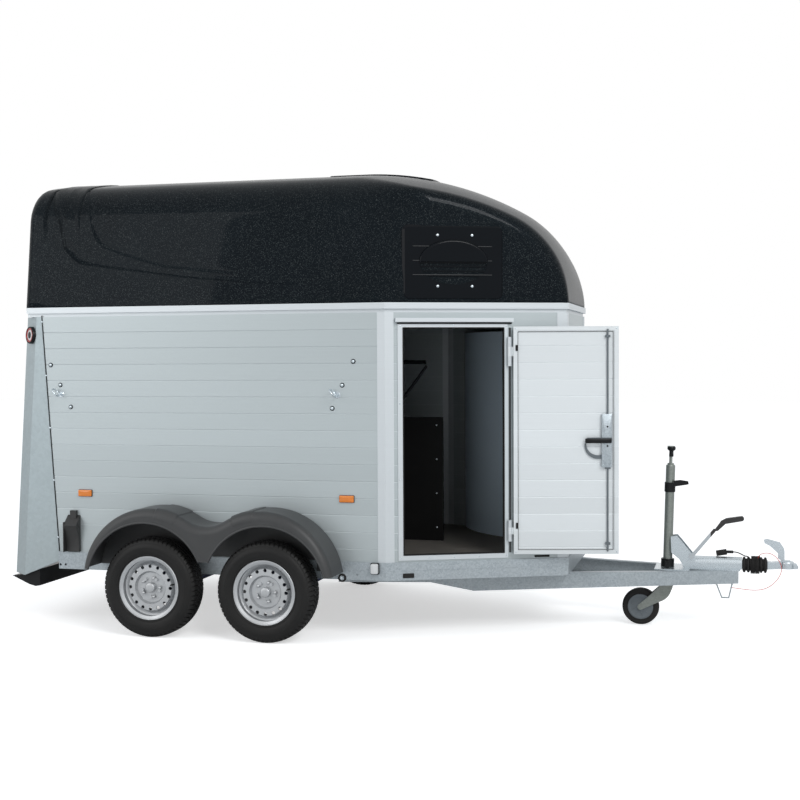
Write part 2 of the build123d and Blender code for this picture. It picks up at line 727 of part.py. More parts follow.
def guard_outline():
    """Side view: a round hump over each wheel and one arc between them as the valley."""
    rear_x, front_x = axle_xs[0] + hump_in, axle_xs[1] - hump_in
    half = (front_x - rear_x) / 2
    rise = valley_z - hump_z
    valley_r = (half ** 2 + rise ** 2 - hump_r ** 2) / (2 * (hump_r - rise))
    side = math.degrees(math.atan2(half, rise + valley_r))
    low = math.asin((guard_foot - hump_z) / hump_r)
    turn = 90 + side - math.degrees(low)
    start = (front_x + hump_r * math.cos(low), guard_foot)
    with BuildLine() as outline:
        line = JernArc(start, (-math.sin(low), math.cos(low)), hump_r, turn)
        line = JernArc(line @ 1, line % 1, valley_r, -2 * side)
        line = JernArc(line @ 1, line % 1, hump_r, turn)
        Line(line @ 1, start)
    return make_face(outline.line)


def mudguards():
    """One moulding over both wheels: a skin with a round shoulder, two arches and a splash wall."""
    rear_x, front_x = axle_xs
    y0 = half_width + sill_proud + 3
    body = extrude(side_plane(-guard_out_y) * guard_outline(), -(guard_out_y - y0))
    shoulder = [edge for edge in body.edges() if abs(edge.center().Y + guard_out_y) < 1
                and edge.center().Z > guard_foot + 1]
    body = fillet(shoulder, guard_round)
    floor_face = body.faces().sort_by(Axis.Z)[0]
    guard = offset(body, -guard_skin, openings=floor_face)
    outer, inner = -guard_out_y - 1, -guard_out_y + guard_skin + 3
    for x, lean in zip(axle_xs, (-arch_out, arch_out)):
        guard -= rod((x + lean, outer, arch_z), (x + lean, inner, arch_z), arch_r)
    guard -= block(rear_x, front_x, outer, inner, 0, sill_top + 5)
    guard -= block(rear_x - 250, front_x + 250, -y0 - guard_skin - 1, -y0 + 1, 0, sill_top + 5)
    guard = max(guard.solids(), key=lambda solid: solid.volume)
    save("mudguard_right", guard)
    save("mudguard_left", other_side(guard))


# Hitch

jockey_place = Pos(jockey_x, 0, 0) * Rot(0, jockey_lean, 0)


def from_ball(points):
    return [(ball_x + x, ball_z + z) for x, z in points]


def hitch():
    base = beam_top + 8
    top = shaft_z + housing_lift
    housing = block(housing_x[0], housing_x[1], -housing_r, housing_r, base, top)
    housing += rod((housing_x[0], 0, top), (housing_x[1], 0, top), housing_r) - block(
        housing_x[0], housing_x[1], -housing_r, housing_r, 0, base)
    housing += block(jockey_x - 60, housing_x[0], -120, 120, beam_top, base)
    housing += block(housing_x[0], housing_x[1] - 10, -beam_front_y, beam_front_y, beam_top, base)
    housing -= jockey_place * Pos(0, 0, beam_top) * Cylinder(jockey_tube_r + 12.5, 60)
    save("overrun_housing", housing)
    x0, x1 = bellows_x
    folds = 6
    pitch = (x1 - x0) / folds
    points = [(x0, shaft_r)]
    for i in range(folds):
        start = x0 + i * pitch
        points += [(start + 3, bellows_r - 10), (start + pitch * 0.3, bellows_r),
                   (start + pitch * 0.7, bellows_r), (start + pitch - 3, bellows_r - 10)]
    points += [(x1, shaft_r)]
    bellows = revolve(make_face(Polyline(*points, close=True)), Axis.X)
    save("bellows", Pos(0, 0, shaft_z) * bellows)
    shaft = rod((x0, 0, shaft_z), (x1 + 5, 0, shaft_z), shaft_r)
    neck = plate(from_ball([(-110, -14), (-30, -7), (-30, 35), (-87, 28), (-110, 33)]), side_plane(-26), -52)
    bowl = Pos(ball_x, 0, ball_z - ball_skirt / 2) * Cylinder(
        40, 36 + ball_skirt / 2, align=(Align.CENTER, Align.CENTER, Align.MIN))
    bowl = fillet(bowl.edges().sort_by(Axis.Z)[-1:], 10)
    head = shaft + neck + bowl
    lock_case = from_ball([(-34, 12), (-34, 38), (-19, 41), (16, 41), (34, 28), (34, 12)])
    nose_tip = from_ball([(36, -7), (60, -7), (64, 3), (53, 22), (30, 28), (34, 10)])
    head += plate(lock_case, side_plane(-22), -44) + plate(nose_tip, side_plane(-24), -48)
    socket = Pos(ball_x, 0, ball_z + ball_skirt / 2) * Sphere(ball_bore_r)
    mouth = Pos(ball_x, 0, ball_z - 60) * Cylinder(
        ball_bore_r, 60 + ball_skirt / 2, align=(Align.CENTER, Align.CENTER, Align.MIN))
    save("coupling_head", head - socket - mouth)
    handle = plate(from_ball([(-51, 52), (-51, 82), (-98, 125), (-127, 139), (-131, 158), (-113, 164),
                              (-41, 146), (-19, 113), (-14, 94), (-14, 41.3), (-34, 41.3)]),
                   side_plane(-12), -24)
    save("coupling_handle", handle)


def handbrake():
    """Two cheeks on the housing's base, and a lever with a bent grip outside the right one."""
    base = beam_top + 8 - ball_z
    cheek = from_ball([(-666, 167), (-629, 172), (-603, 142), (-543, 68), (-525, 42), (-535, base),
                       (-592, base), (-600, 6), (-617, 35), (-662, 71)])
    save("handbrake_bracket", Compound([plate(cheek, side_plane(-41), 6), plate(cheek, side_plane(41), -6)]))
    bar = plate(from_ball([(-552, 60), (-534, 50), (-400, 214), (-416, 224)]), side_plane(-52), 8)
    bar += rod((ball_x - 546, -47, ball_z + 54), (ball_x - 546, -63, ball_z + 54), 15)
    with BuildLine() as outline:
        Polyline(*from_ball([(-418, 208), (-393, 211), (-350, 253)]))
        Line(from_ball([(-350, 253)])[0], from_ball([(-258, 271)])[0])
        ThreePointArc(*from_ball([(-258, 271), (-244, 287), (-258, 301)]))
        Polyline(*from_ball([(-258, 301), (-345, 287), (-374, 271), (-418, 208)]))
    grip = extrude(side_plane(-43) * make_face(outline.line), 26)
    save("handbrake_lever", bar + grip)


def hitch_rods():
    """Reversing lever and brake rod beside the middle, and a bent wire loop under the right beam."""
    lever_y, loop_y, lever_thick = -62.0, -60.0, 14.0
    base = beam_top - ball_z
    lever = plate(from_ball([(-605, base), (-605, -90), (-664, -92), (-664, -107), (-545, -107), (-530, -98),
                             (-521, -107), (-513, -92), (-560, -90), (-560, base)]),
                  side_plane(lever_y), lever_thick)
    y = lever_y - lever_thick / 2
    front = (ball_x - 600, y, ball_z - 97)
    back = (axle_xs[1] + arm_length + axle_tube_r + 3, y, ball_z - 72)
    brake_rod = rod(front, back, 6)
    hang_x = cross_positions[-1] + 20
    share = (hang_x - back[0]) / (front[0] - back[0])
    hang_z = back[2] + share * (front[2] - back[2])
    brake_rod += block(hang_x - 4, hang_x + 4, y - 12, y + 12, hang_z, sill_top - cross_height)
    foot_top = beam_front_bottom - 3
    feet = [(ball_x - 400, foot_top), (ball_x - 312, foot_top + 2)]
    path = [(feet[0][0], foot_top - 4), (ball_x - 370, 190), (ball_x - 330, 190), (feet[1][0], foot_top - 2)]
    loop = rod((path[0][0], loop_y, path[0][1]), (path[1][0], loop_y, path[1][1]), loop_r)
    for (xa, za), (xb, zb) in zip(path[1:], path[2:]):
        loop += rod((xa, loop_y, za), (xb, loop_y, zb), loop_r) + Pos(xa, loop_y, za) * Sphere(loop_r)
    for x, z in feet:
        loop += block(x - 6, x + 6, loop_y - 6, loop_y + 6, z - 6, z)
    save("hitch_rods", Compound([lever + brake_rod, loop]))


def jockey():
    """Tube in its clamp, sliding leg, trailing fork and wheel."""
    up = (Align.CENTER, Align.CENTER, Align.MIN)
    base = beam_top + 10.0
    ring = Pos(0, 0, base) * Cylinder(jockey_tube_r + 12, 46, align=up)
    ring += block(-12, 12, -75, -jockey_tube_r, base, base + 36)
    ring -= Pos(0, 0, base - 1) * Cylinder(jockey_tube_r, 60, align=up)
    low, high = 300.0, 966.0
    tube = Pos(0, 0, low) * Cylinder(jockey_tube_r, high - low, align=up)
    tube = fillet(tube.edges().sort_by(Axis.Z)[-1:], 8)
    bore = jockey_leg_r + running_gap
    tube -= Pos(0, 0, low - 1) * Cylinder(bore, high - low - 20, align=up)
    tube += Pos(0, 0, high) * Cylinder(19, 8, align=up)
    tube += Pos(0, 0, high + 8) * Cylinder(9.5, 84, align=up)
    tube += Pos(0, 0, high + 92) * Cylinder(22, 19, align=up)
    save("jockey_tube", jockey_place * tube)
    band_low, band_high = 803.0, 860.0
    band = Pos(0, 0, band_low) * Cylinder(jockey_tube_r + 5, band_high - band_low, align=up)
    band -= Pos(0, 0, band_low - 1) * Cylinder(jockey_tube_r, 80, align=up)
    lever = plate([(20, 833), (31, 838), (96, 851), (110, 855), (106, 873), (60, 878), (20, 872)],
                  side_plane(-jockey_tube_r - 3), -10)
    lever += block(-14, 30, -jockey_tube_r - 3, -jockey_tube_r + 6, band_low + 8, band_high)
    lever -= Pos(0, 0, band_low - 1) * Cylinder(jockey_tube_r, 100, align=up)
    save("jockey_clamp", jockey_place * Compound([ring, band + lever]))
    leg_low = 262.0
    pin_r = 12.0
    crown_top = leg_low - 0.4
    crown_low = crown_top - 10.0
    leg = Pos(0, 0, leg_low) * Cylinder(jockey_leg_r, 420, align=up)
    leg += Pos(0, 0, crown_low - 9) * Cylinder(pin_r, 40, align=up)
    leg += Pos(0, 0, crown_low - 9) * Cylinder(pin_r + 6, 8.6, align=up)
    save("jockey_leg", jockey_place * leg)
    half = jockey_wheel_width / 2 + 6
    lean = math.radians(jockey_lean)
    hub_z = (jockey_wheel_r - jockey_trail * math.sin(lean)) / math.cos(lean)
    fork = block(-24, 26, -half - 3, half + 3, crown_low, crown_top)
    fork -= Pos(0, 0, crown_low - 1) * Cylinder(pin_r + running_gap, 20, align=up)
    with BuildLine() as outline:
        ThreePointArc((-24, crown_top), (16, crown_top - 2), (36, 236))
        Line((36, 236), (21, 196))
        ThreePointArc((21, 196), (-2, 166), (-40, 144))
        Line((-40, 144), (-jockey_trail + 8, hub_z - 15))
        ThreePointArc((-jockey_trail + 8, hub_z - 15), (-jockey_trail - 16, hub_z - 4),
                      (-jockey_trail - 8, hub_z + 15))
        Line((-jockey_trail - 8, hub_z + 15), (-53, 222))
        Line((-53, 222), (-24, crown_top))
    cheek = make_face(outline.line)
    for side in (-1, 1):
        fork += extrude(side_plane(side * (half + 3) - 3) * cheek, -6)
    fork += rod((-jockey_trail, -half - 10, hub_z), (-jockey_trail, half + 10, hub_z), 8)
    save("jockey_fork", jockey_place * fork)
    w = jockey_wheel_width / 2
    r = jockey_wheel_r
    points = [(8 + running_gap, -w), (22, -w), (30, -w + 12), (66, -w + 12), (72, -w + 2), (r - 12, -w + 2),
              (r - 2, -w + 12), (r, 0), (r - 2, w - 12), (r - 12, w - 2), (72, w - 2), (66, w - 12),
              (30, w - 12), (22, w), (8 + running_gap, w)]
    wheel_piece = revolve(make_face(Polyline(*points, close=True)), Axis.Y)
    save("jockey_wheel", jockey_place * Pos(-jockey_trail, 0, hub_z) * wheel_piece)


# Inside

def interior():
    """Centre post with its arm, the partition's boards on both sides of it and the breast bars."""
    thick = 22.0
    floor_top = sill_top + floor_thick
    rear, front = post_x
    post = block(rear, front, -20, 20, floor_top, rail_top)
    post += block(rear, front, -20, 20, rail_top - 1, roof_crown + roof_reach) & roof_form(
        roof_skin, roof_rear_x, rail_top - 1)
    post += rod((front, 0, 1583), (front + 185, 0, 1583), 12)
    post += rod((front - 5, 0, 1300), (front + 190, 0, 1560), 9)
    save("partition_post", post)
    boards = [block(rear - 1510, rear, -thick / 2, thick / 2, floor_top + 30, board_top - 10),
              block(front, board_front_x, -thick / 2, thick / 2, floor_top, board_top)]
    save("partition", Compound(boards))
    bar_z = sill_top + 730.0
    bars = [rod((breast_bar_x, side * 20, bar_z), (breast_bar_x, side * (half_width - wall_thick), bar_z), 20)
            for side in (-1, 1)]
    save("breast_bars", Compound(bars))


def nose_lining():
    """Round panel across the left front corner, with a round upper corner."""
    x, y = locker_centre
    floor_top = sill_top + floor_thick
    tall = locker_top - floor_top
    up = (Align.CENTER, Align.CENTER, Align.MIN)
    skin = Pos(x, y, floor_top) * (Cylinder(locker_r, tall, align=up)
                                   - Cylinder(locker_r - locker_skin, tall, align=up))
    skin &= plan_solid(-wall_thick, seam_foot_x, floor_top, locker_top)
    x0 = skin.bounding_box().min.X
    low, high = locker_top - locker_round, locker_top + 10
    with BuildLine() as outline:
        ThreePointArc((x0 - 10, low), (x0 + 0.2 * locker_round, locker_top - 32), (x0 + locker_round, high))
        Line((x0 + locker_round, high), (x0 - 10, high))
        Line((x0 - 10, high), (x0 - 10, low))
    corner = extrude(side_plane(0) * make_face(outline.line), -half_width)
    save("nose_lining", skin - corner)


# Fittings on the body's sides

def lamps():
    """Side markers, the outline lamp on the rear chamfer, the front marker and the rear lamps."""
    pieces = []
    for x in (rear_foot_x + 512.0, -228.0):
        marker = block(x - 45, x + 45, -half_width - 14, -half_width, 786, 829)
        pieces.append(fillet(marker.edges().filter_by(Axis.Y), 5))
    front = -60.0
    side = half_width + sill_proud + 3
    pieces.append(block(front - 25, front + 25, -side - 32, -side, 384, sill_top))
    along = math.hypot(chamfer_long, chamfer_wide)
    normal = (-chamfer_wide / along, -chamfer_long / along)
    u = 58.0
    foot = (u, -half_width + chamfer_wide * (1 - u / chamfer_long), 1461.0)
    tip = (foot[0] + 24 * normal[0], foot[1] + 24 * normal[1], foot[2])
    pieces.append(rear_place * rod(foot, tip, 52))
    a, b = light_bar_side[0], light_bar_side[5]
    slope = math.degrees(math.atan2(a[1] - b[1], b[0] - a[0]))
    lens = block(12, 100, -half_width + 60, -half_width + 280, -10, 0)
    pieces.append(Pos(rear_foot_x + a[0], 0, rear_foot_z + a[1]) * Rot(0, slope, 0) * lens)
    save("lamps", Compound(pieces + [other_side(piece) for piece in pieces]))


def wheel_chock():
    """Chock with a sloping top and a hollow front, held against the wall by a bent strip."""
    x0, x1 = seam_foot_x + 60.0, seam_foot_x + 143.0
    low, high = sill_top + 5, sill_top + 224
    with BuildLine() as outline:
        Line((-half_width, low), (-half_width, high))
        Line((-half_width, high), (-half_width - 60, high - 59))
        ThreePointArc((-half_width - 60, high - 59), (-half_width - 30, high - 130), (-half_width - 22, low))
        Line((-half_width - 22, low), (-half_width, low))
    chock = extrude(Plane.YZ.offset(x0) * make_face(outline.line), x1 - x0)
    chock += block(x0 + 25, x1 - 19, -half_width - 22, -half_width, high - 25, high + 28)
    strip = block(x0 - 5, x0 - 0.3, -half_width - 55, -half_width, low, high - 40)
    strip += block(x0 - 30, x0 - 5, -half_width - 4, -half_width, low + 40, high - 60)
    save("wheel_chock", Compound([chock, strip]))


# Cables. Their routes' points are control points with straight runs and round corners.

def cord_tube(points, diameter):
    """A round tube along straight runs, with an arc at each corner that fits its shorter run."""
    radii = []
    for before, here, after in zip(points, points[1:], points[2:]):
        a, b = Vector(*here) - Vector(*before), Vector(*after) - Vector(*here)
        half_turn = math.radians(a.get_angle(b)) / 2
        radii.append(0.45 * min(a.length, b.length) / math.tan(half_turn))
    path = FilletPolyline(*points, radius=radii)
    print("route", round(path.length, 1), "mm, tightest bend", round(min(radii), 1), "mm")
    return sweep(Plane(origin=path @ 0, z_dir=path % 0) * Circle(diameter / 2), path)


def cables():
    """The trailer's cable, wound round the bellows with its plug parked on the housing, and the
    stiff red safety rope between the windings and the wire loop below."""
    axis_z = shaft_z
    coil_x = (ball_x - 220.0, ball_x - 150.0)
    inner_r = bellows_r + 0.3
    outer_r = inner_r + cable_r * 2 + 1.2
    coil = rod((coil_x[0], 0, axis_z), (coil_x[1], 0, axis_z), outer_r)
    coil -= rod((coil_x[0] - 1, 0, axis_z), (coil_x[1] + 1, 0, axis_z), inner_r)
    save("cable_coil", coil)
    rest_z = shaft_z + housing_lift + housing_r + plug_r + 0.3
    end = (ball_x - 305.0, rest_z + 11)
    plug = rod((ball_x - 403, 0, rest_z), (ball_x - 343, 0, end[1]), plug_r)
    plug += rod((ball_x - 343, 0, end[1]), (end[0], 0, end[1]), plug_r / 2)
    save("cable_plug", plug)
    middle = axis_z + (inner_r + outer_r) / 2
    route = [(end[0], 0, end[1]), (end[0] + 25, 0, end[1]), (coil_x[0] - 22, 0, middle),
             (coil_x[0], 0, middle)]
    save("trailer_cable", cord_tube(route, cable_r * 2))
    start_y, clear_of_coil = -30.0, 0.4
    start_z = axis_z + math.sqrt((outer_r + clear_of_coil) ** 2 - start_y ** 2)
    route = [(2041, start_y, start_z), (2046, -42, start_z + 18), (2065, -54, 456), (2094, -60, 462),
             (2127, -60, 452), (2155, -60, 425), (2173, -60, 388), (2173, -60, 353), (2156, -60, 313),
             (2122, -60, 274), (2079, -60, 248), (2035, -60, 240), (1988, -60, 240), (1943, -60, 245),
             (1893, -60, 250)]
    save("breakaway_cable", cord_tube(route, rope_r * 2))


sills()
cross_members()
floor_panel()
drawbar_beams()
side_walls()
front_panels()
body_frame()
door_frame()
groom_door()
rear_posts()
rear_beam()
ramp()
light_bar()
roof()
vents()
rear_curtain()
for wheel_x, end in zip(axle_xs, ("rear", "front")):
    for wheel_side, hand in ((-1, "right"), (1, "left")):
        wheel(wheel_x, wheel_side, end + "_" + hand)
    axle(wheel_x, "axle_" + end)
mudguards()
hitch()
handbrake()
hitch_rods()
jockey()
interior()
nose_lining()
lamps()
wheel_chock()
cables()
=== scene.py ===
import math

import bmesh
import bpy
import numpy as np
from mathutils import Matrix, Vector


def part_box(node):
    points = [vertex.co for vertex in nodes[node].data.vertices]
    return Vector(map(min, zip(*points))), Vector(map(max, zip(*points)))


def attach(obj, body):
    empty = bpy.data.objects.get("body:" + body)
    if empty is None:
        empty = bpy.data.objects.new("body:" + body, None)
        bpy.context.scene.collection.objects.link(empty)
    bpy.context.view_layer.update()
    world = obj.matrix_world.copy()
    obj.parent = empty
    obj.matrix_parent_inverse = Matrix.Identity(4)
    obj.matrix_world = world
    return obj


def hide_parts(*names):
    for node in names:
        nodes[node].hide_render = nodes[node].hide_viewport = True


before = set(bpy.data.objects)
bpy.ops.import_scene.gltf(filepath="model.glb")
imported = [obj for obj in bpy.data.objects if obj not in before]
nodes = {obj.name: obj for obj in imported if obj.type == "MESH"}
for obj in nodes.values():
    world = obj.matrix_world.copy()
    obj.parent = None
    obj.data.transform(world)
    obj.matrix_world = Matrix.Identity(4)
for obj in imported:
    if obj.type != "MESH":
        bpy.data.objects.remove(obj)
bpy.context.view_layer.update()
print("frame loaded, nodes:", len(nodes))

# Sketch measures are in metres from the body's front corner, on the ground. This moves them to the frame
cornerX = -2.205
groundZ = -0.372
corner = np.array([cornerX, 0.0, groundZ])

photoCamera = {"place": (-0.2546, -8.0172, 1.2216), "yaw": 0.254348, "pitch": -0.029928,
               "roll": -0.004595, "lens": 59.33}


def buildCamera():
    lens = bpy.data.cameras.new("photoCamera")
    lens.sensor_width = 36.0
    lens.lens = photoCamera["lens"]
    lens.clip_end = 200.0
    camera = bpy.data.objects.new("photoCamera", lens)
    bpy.context.collection.objects.link(camera)
    camera.matrix_world = (Matrix.Translation(photoCamera["place"])
                           @ Matrix.Rotation(photoCamera["yaw"], 4, "Z")
                           @ Matrix.Rotation(math.pi / 2 + photoCamera["pitch"], 4, "X")
                           @ Matrix.Rotation(photoCamera["roll"], 4, "Z"))
    bpy.context.scene.camera = camera


buildCamera()

# Cables: control points in metres from the body's corner, the same as the solids' routes
cableLook = {
    "diameter": 0.0065, "turns": 7, "pointsPerTurn": 13, "coilX": (2.051, 2.000), "coilR": 0.0516,
    "axisZ": 0.380, "lastAngle": -60.0,
    "lead": ((1.995, -0.0300, 0.4220), (1.984, -0.0125, 0.4300), (1.963, -0.0030, 0.4310),
             (1.925, 0.0, 0.4523), (1.900, 0.0, 0.4523)),
}
ropeLook = {
    "diameter": 0.0035, "length": 0.5555,
    "route": ((2.0410, -0.0300, 0.4253), (2.046, -0.042, 0.4433), (2.065, -0.054, 0.456),
              (2.094, -0.060, 0.462), (2.127, -0.060, 0.452), (2.155, -0.060, 0.425),
              (2.173, -0.060, 0.388), (2.173, -0.060, 0.353), (2.156, -0.060, 0.313),
              (2.122, -0.060, 0.274), (2.079, -0.060, 0.248), (2.035, -0.060, 0.240),
              (1.988, -0.060, 0.240), (1.943, -0.060, 0.245), (1.893, -0.060, 0.250)),
}
pointRadius = 0.01


def routeCurve(name, points, diameter):
    # One open NURBS spline of order 3 with the route's points as control points
    curve = bpy.data.curves.new(name, "CURVE")
    curve.dimensions = "3D"
    curve.bevel_depth = diameter / 2 / pointRadius   # small point radii keep the curve's box tight
    curve.bevel_resolution = 3
    curve.use_fill_caps = True
    spline = curve.splines.new("NURBS")
    spline.points.add(len(points) - 1)
    rows = np.hstack([points + corner, np.ones((len(points), 1))])
    spline.points.foreach_set("co", rows.ravel())
    spline.points.foreach_set("radius", np.full(len(points), pointRadius))
    spline.order_u = 3
    spline.use_endpoint_u = True
    spline.resolution_u = 6
    piece = bpy.data.objects.new(name, curve)
    bpy.context.collection.objects.link(piece)
    return piece


def cableRoute():
    # A helix of even turns round the bellows, then over to the plug that lies on the housing
    look = cableLook
    count = look["turns"] * look["pointsPerTurn"]
    angle = math.radians(look["lastAngle"]) - np.arange(count)[::-1] * 2 * np.pi / look["pointsPerTurn"]
    x = np.linspace(look["coilX"][0], look["coilX"][1], count)
    turns = np.stack([x, look["coilR"] * np.sin(angle), look["axisZ"] + look["coilR"] * np.cos(angle)], 1)
    return np.vstack([turns, look["lead"]])


def splineLength(piece):
    # The length of the bare spline, measured along a copy without its round section
    depth = piece.data.bevel_depth
    piece.data.bevel_depth = 0.0
    bpy.context.view_layer.update()
    line = bpy.data.meshes.new_from_object(piece.evaluated_get(bpy.context.evaluated_depsgraph_get()))
    places = np.empty(len(line.vertices) * 3)
    line.vertices.foreach_get("co", places)
    piece.data.bevel_depth = depth
    bpy.data.meshes.remove(line)
    return float(np.linalg.norm(np.diff(places.reshape(-1, 3), axis=0), axis=1).sum())


cablePoints = cableRoute()
trailerCable = routeCurve("trailerCable", cablePoints, cableLook["diameter"])
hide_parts("trailer_cable", "cable_coil")
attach(trailerCable, "root")
splineLength(trailerCable)

ropePoints = np.array(ropeLook["route"])
safetyRope = routeCurve("safetyRope", ropePoints, ropeLook["diameter"])
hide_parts("breakaway_cable")
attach(safetyRope, "root")
print("camera and cables made")


def newGroup(name, inputs, outputs):
    # A shader group: a Position input, then inputs as (label, value), and outputs that are all numbers
    group = bpy.data.node_groups.new(name, "ShaderNodeTree")
    for label, value in (("Position", (0, 0, 0)), *inputs):
        kind = "NodeSocketVector" if isinstance(value, tuple) else "NodeSocketFloat"
        socket = group.interface.new_socket(name=label, in_out="INPUT", socket_type=kind)
        socket.default_value = value
    for label in outputs:
        group.interface.new_socket(name=label, in_out="OUTPUT", socket_type="NodeSocketFloat")
    return group, group.nodes.new("NodeGroupInput"), group.nodes.new("NodeGroupOutput")


def addNode(tree, kind, **settings):
    # A setting is a socket's value where the node has such a socket, and otherwise an attribute
    node = tree.nodes.new("ShaderNode" + kind)
    for key, value in settings.items():
        if key in node.inputs:
            node.inputs[key].default_value = value
        else:
            setattr(node, key, value)
    return node


def mathNode(tree, operation, a, b=None, clamp=False):
    node = tree.nodes.new("ShaderNodeMath")
    node.operation = operation
    node.use_clamp = clamp
    for i, value in enumerate((a, b)):
        if value is None:
            continue
        if isinstance(value, (int, float)):
            node.inputs[i].default_value = value
        else:
            tree.links.new(value, node.inputs[i])
    return node.outputs[0]


def mixColour(tree, share, a, b):
    node = tree.nodes.new("ShaderNodeMix")
    node.data_type = "RGBA"
    for i, value in ((0, share), (6, a), (7, b)):
        if isinstance(value, (int, float)):
            node.inputs[i].default_value = value
        elif isinstance(value, tuple):
            node.inputs[i].default_value = (*value, 1.0)
        else:
            tree.links.new(value, node.inputs[i])
    return node.outputs[2]


def scaled(tree, value, factor, offset):
    # A value times a factor, plus an offset
    return mathNode(tree, "ADD", mathNode(tree, "MULTIPLY", value, factor), offset)


def tint(colour, factor):
    return tuple(min(c * factor, 1.0) for c in colour)


def rampNode(tree, value, stops):
    node = tree.nodes.new("ShaderNodeValToRGB")
    points = node.color_ramp.elements
    while len(points) < len(stops):
        points.new(0.5)
    for point, (place, level) in zip(points, stops):
        point.position = place
        point.color = (level, level, level, 1.0)
    tree.links.new(value, node.inputs["Fac"])
    return node.outputs["Color"]


def splitXYZ(tree, vector):
    parts = addNode(tree, "SeparateXYZ")
    tree.links.new(vector, parts.inputs[0])
    return parts.outputs


def makeGrime():
    # Cloudy mask that grows towards the ground: noise times a falling ramp in height
    group, start, end = newGroup("grime", [("Scale", 6.0), ("Top", 1.2)], ["Mask", "Cloud"])
    noise = addNode(group, "TexNoise", Detail=5.0, Roughness=0.62)
    group.links.new(start.outputs["Position"], noise.inputs["Vector"])
    group.links.new(start.outputs["Scale"], noise.inputs["Scale"])
    height = mathNode(group, "SUBTRACT", splitXYZ(group, start.outputs["Position"])["Z"], groundZ)
    share = mathNode(group, "DIVIDE", height, start.outputs["Top"])
    low = mathNode(group, "SUBTRACT", 1.0, share, clamp=True)
    cloud = noise.outputs[0]
    mask = mathNode(group, "MULTIPLY", low, mathNode(group, "MULTIPLY", cloud, 1.4), clamp=True)
    group.links.new(mask, end.inputs["Mask"])
    group.links.new(cloud, end.inputs["Cloud"])
    return group


def makeSpangle():
    # Zinc crystals: two sizes of warped Voronoi cells, each cell with its own shade
    group, start, end = newGroup("spangle", [("Scale", 60.0)], ["Shade", "Fine"])
    warp = addNode(group, "TexNoise", Scale=25.0, Detail=2.0)
    group.links.new(start.outputs["Position"], warp.inputs["Vector"])
    shift = addNode(group, "VectorMath", operation="MULTIPLY_ADD")
    group.links.new(warp.outputs[1], shift.inputs[0])
    shift.inputs[1].default_value = (0.012, 0.012, 0.012)
    group.links.new(start.outputs["Position"], shift.inputs[2])
    shades = []
    for factor in (1.0, 2.7):
        cells = addNode(group, "TexVoronoi")
        group.links.new(shift.outputs[0], cells.inputs["Vector"])
        group.links.new(mathNode(group, "MULTIPLY", start.outputs["Scale"], factor), cells.inputs["Scale"])
        parts = addNode(group, "SeparateColor")
        group.links.new(cells.outputs["Color"], parts.inputs[0])
        shades.append(parts.outputs[0])
    both = mathNode(group, "ADD", mathNode(group, "MULTIPLY", shades[0], 0.6),
                    mathNode(group, "MULTIPLY", shades[1], 0.4))
    group.links.new(both, end.inputs["Shade"])
    group.links.new(shades[1], end.inputs["Fine"])
    return group


def makeBrush():
    # Long fine streaks: noise squeezed across the rolling direction
    group, start, end = newGroup("brush", [("Across", 260.0), ("Along", 2.0)], ["Streak"])
    parts = splitXYZ(group, start.outputs["Position"])
    join = addNode(group, "CombineXYZ")
    for axis, factor in (("X", "Along"), ("Y", "Along"), ("Z", "Across")):
        group.links.new(mathNode(group, "MULTIPLY", parts[axis], start.outputs[factor]), join.inputs[axis])
    noise = addNode(group, "TexNoise", Scale=1.0, Detail=4.0, Roughness=0.7)
    group.links.new(join.outputs[0], noise.inputs["Vector"])
    group.links.new(noise.outputs[0], end.inputs["Streak"])
    return group


def makeSeams():
    # Distance to the nearest plank seam as a thin line, the mask for the painted seam highlight, and a random
    # number for each plank
    group, start, end = newGroup("seams", [("First", 1.5), ("Pitch", 0.096), ("Width", 0.004)],
                                 ["Line", "Row"])
    height = splitXYZ(group, start.outputs["Position"])["Z"]
    place = mathNode(group, "DIVIDE", mathNode(group, "SUBTRACT", height, start.outputs["First"]),
                     start.outputs["Pitch"])
    off = mathNode(group, "ABSOLUTE", mathNode(group, "SUBTRACT", place, mathNode(group, "ROUND", place)))
    reach = mathNode(group, "MULTIPLY", off, start.outputs["Pitch"])
    share = mathNode(group, "DIVIDE", reach, start.outputs["Width"])
    line = mathNode(group, "SUBTRACT", 1.0, share, clamp=True)
    random = addNode(group, "TexWhiteNoise", noise_dimensions="1D")
    group.links.new(mathNode(group, "FLOOR", place), random.inputs["W"])
    group.links.new(line, end.inputs["Line"])
    group.links.new(random.outputs["Value"], end.inputs["Row"])
    return group


def makeZone():
    # 1 inside a box between two corners, 0 outside
    group, start, end = newGroup("zone", [("Low", (0, 0, 0)), ("High", (1, 1, 1))], ["Inside"])
    place = splitXYZ(group, start.outputs["Position"])
    low = splitXYZ(group, start.outputs["Low"])
    high = splitXYZ(group, start.outputs["High"])
    inside = 1.0
    for axis in "XYZ":
        above = mathNode(group, "GREATER_THAN", place[axis], low[axis])
        below = mathNode(group, "LESS_THAN", place[axis], high[axis])
        inside = mathNode(group, "MULTIPLY", mathNode(group, "MULTIPLY", above, below), inside)
    group.links.new(inside, end.inputs["Inside"])
    return group


grime = makeGrime()
spangle = makeSpangle()
brush = makeBrush()
seams = makeSeams()
zone = makeZone()


def useGroup(tree, group, position, **values):
    node = tree.nodes.new("ShaderNodeGroup")
    node.node_tree = group
    tree.links.new(position, node.inputs["Position"])
    for key, value in values.items():
        node.inputs[key].default_value = value
    return node


def newMaterial(name, **settings):
    material = bpy.data.materials.new(name)
    material.use_nodes = True
    tree = material.node_tree
    shader = tree.nodes["Principled BSDF"]
    for key, value in settings.items():
        shader.inputs[key.replace("_", " ")].default_value = value
    position = tree.nodes.new("ShaderNodeTexCoord").outputs["Object"]
    return material, tree, shader, position


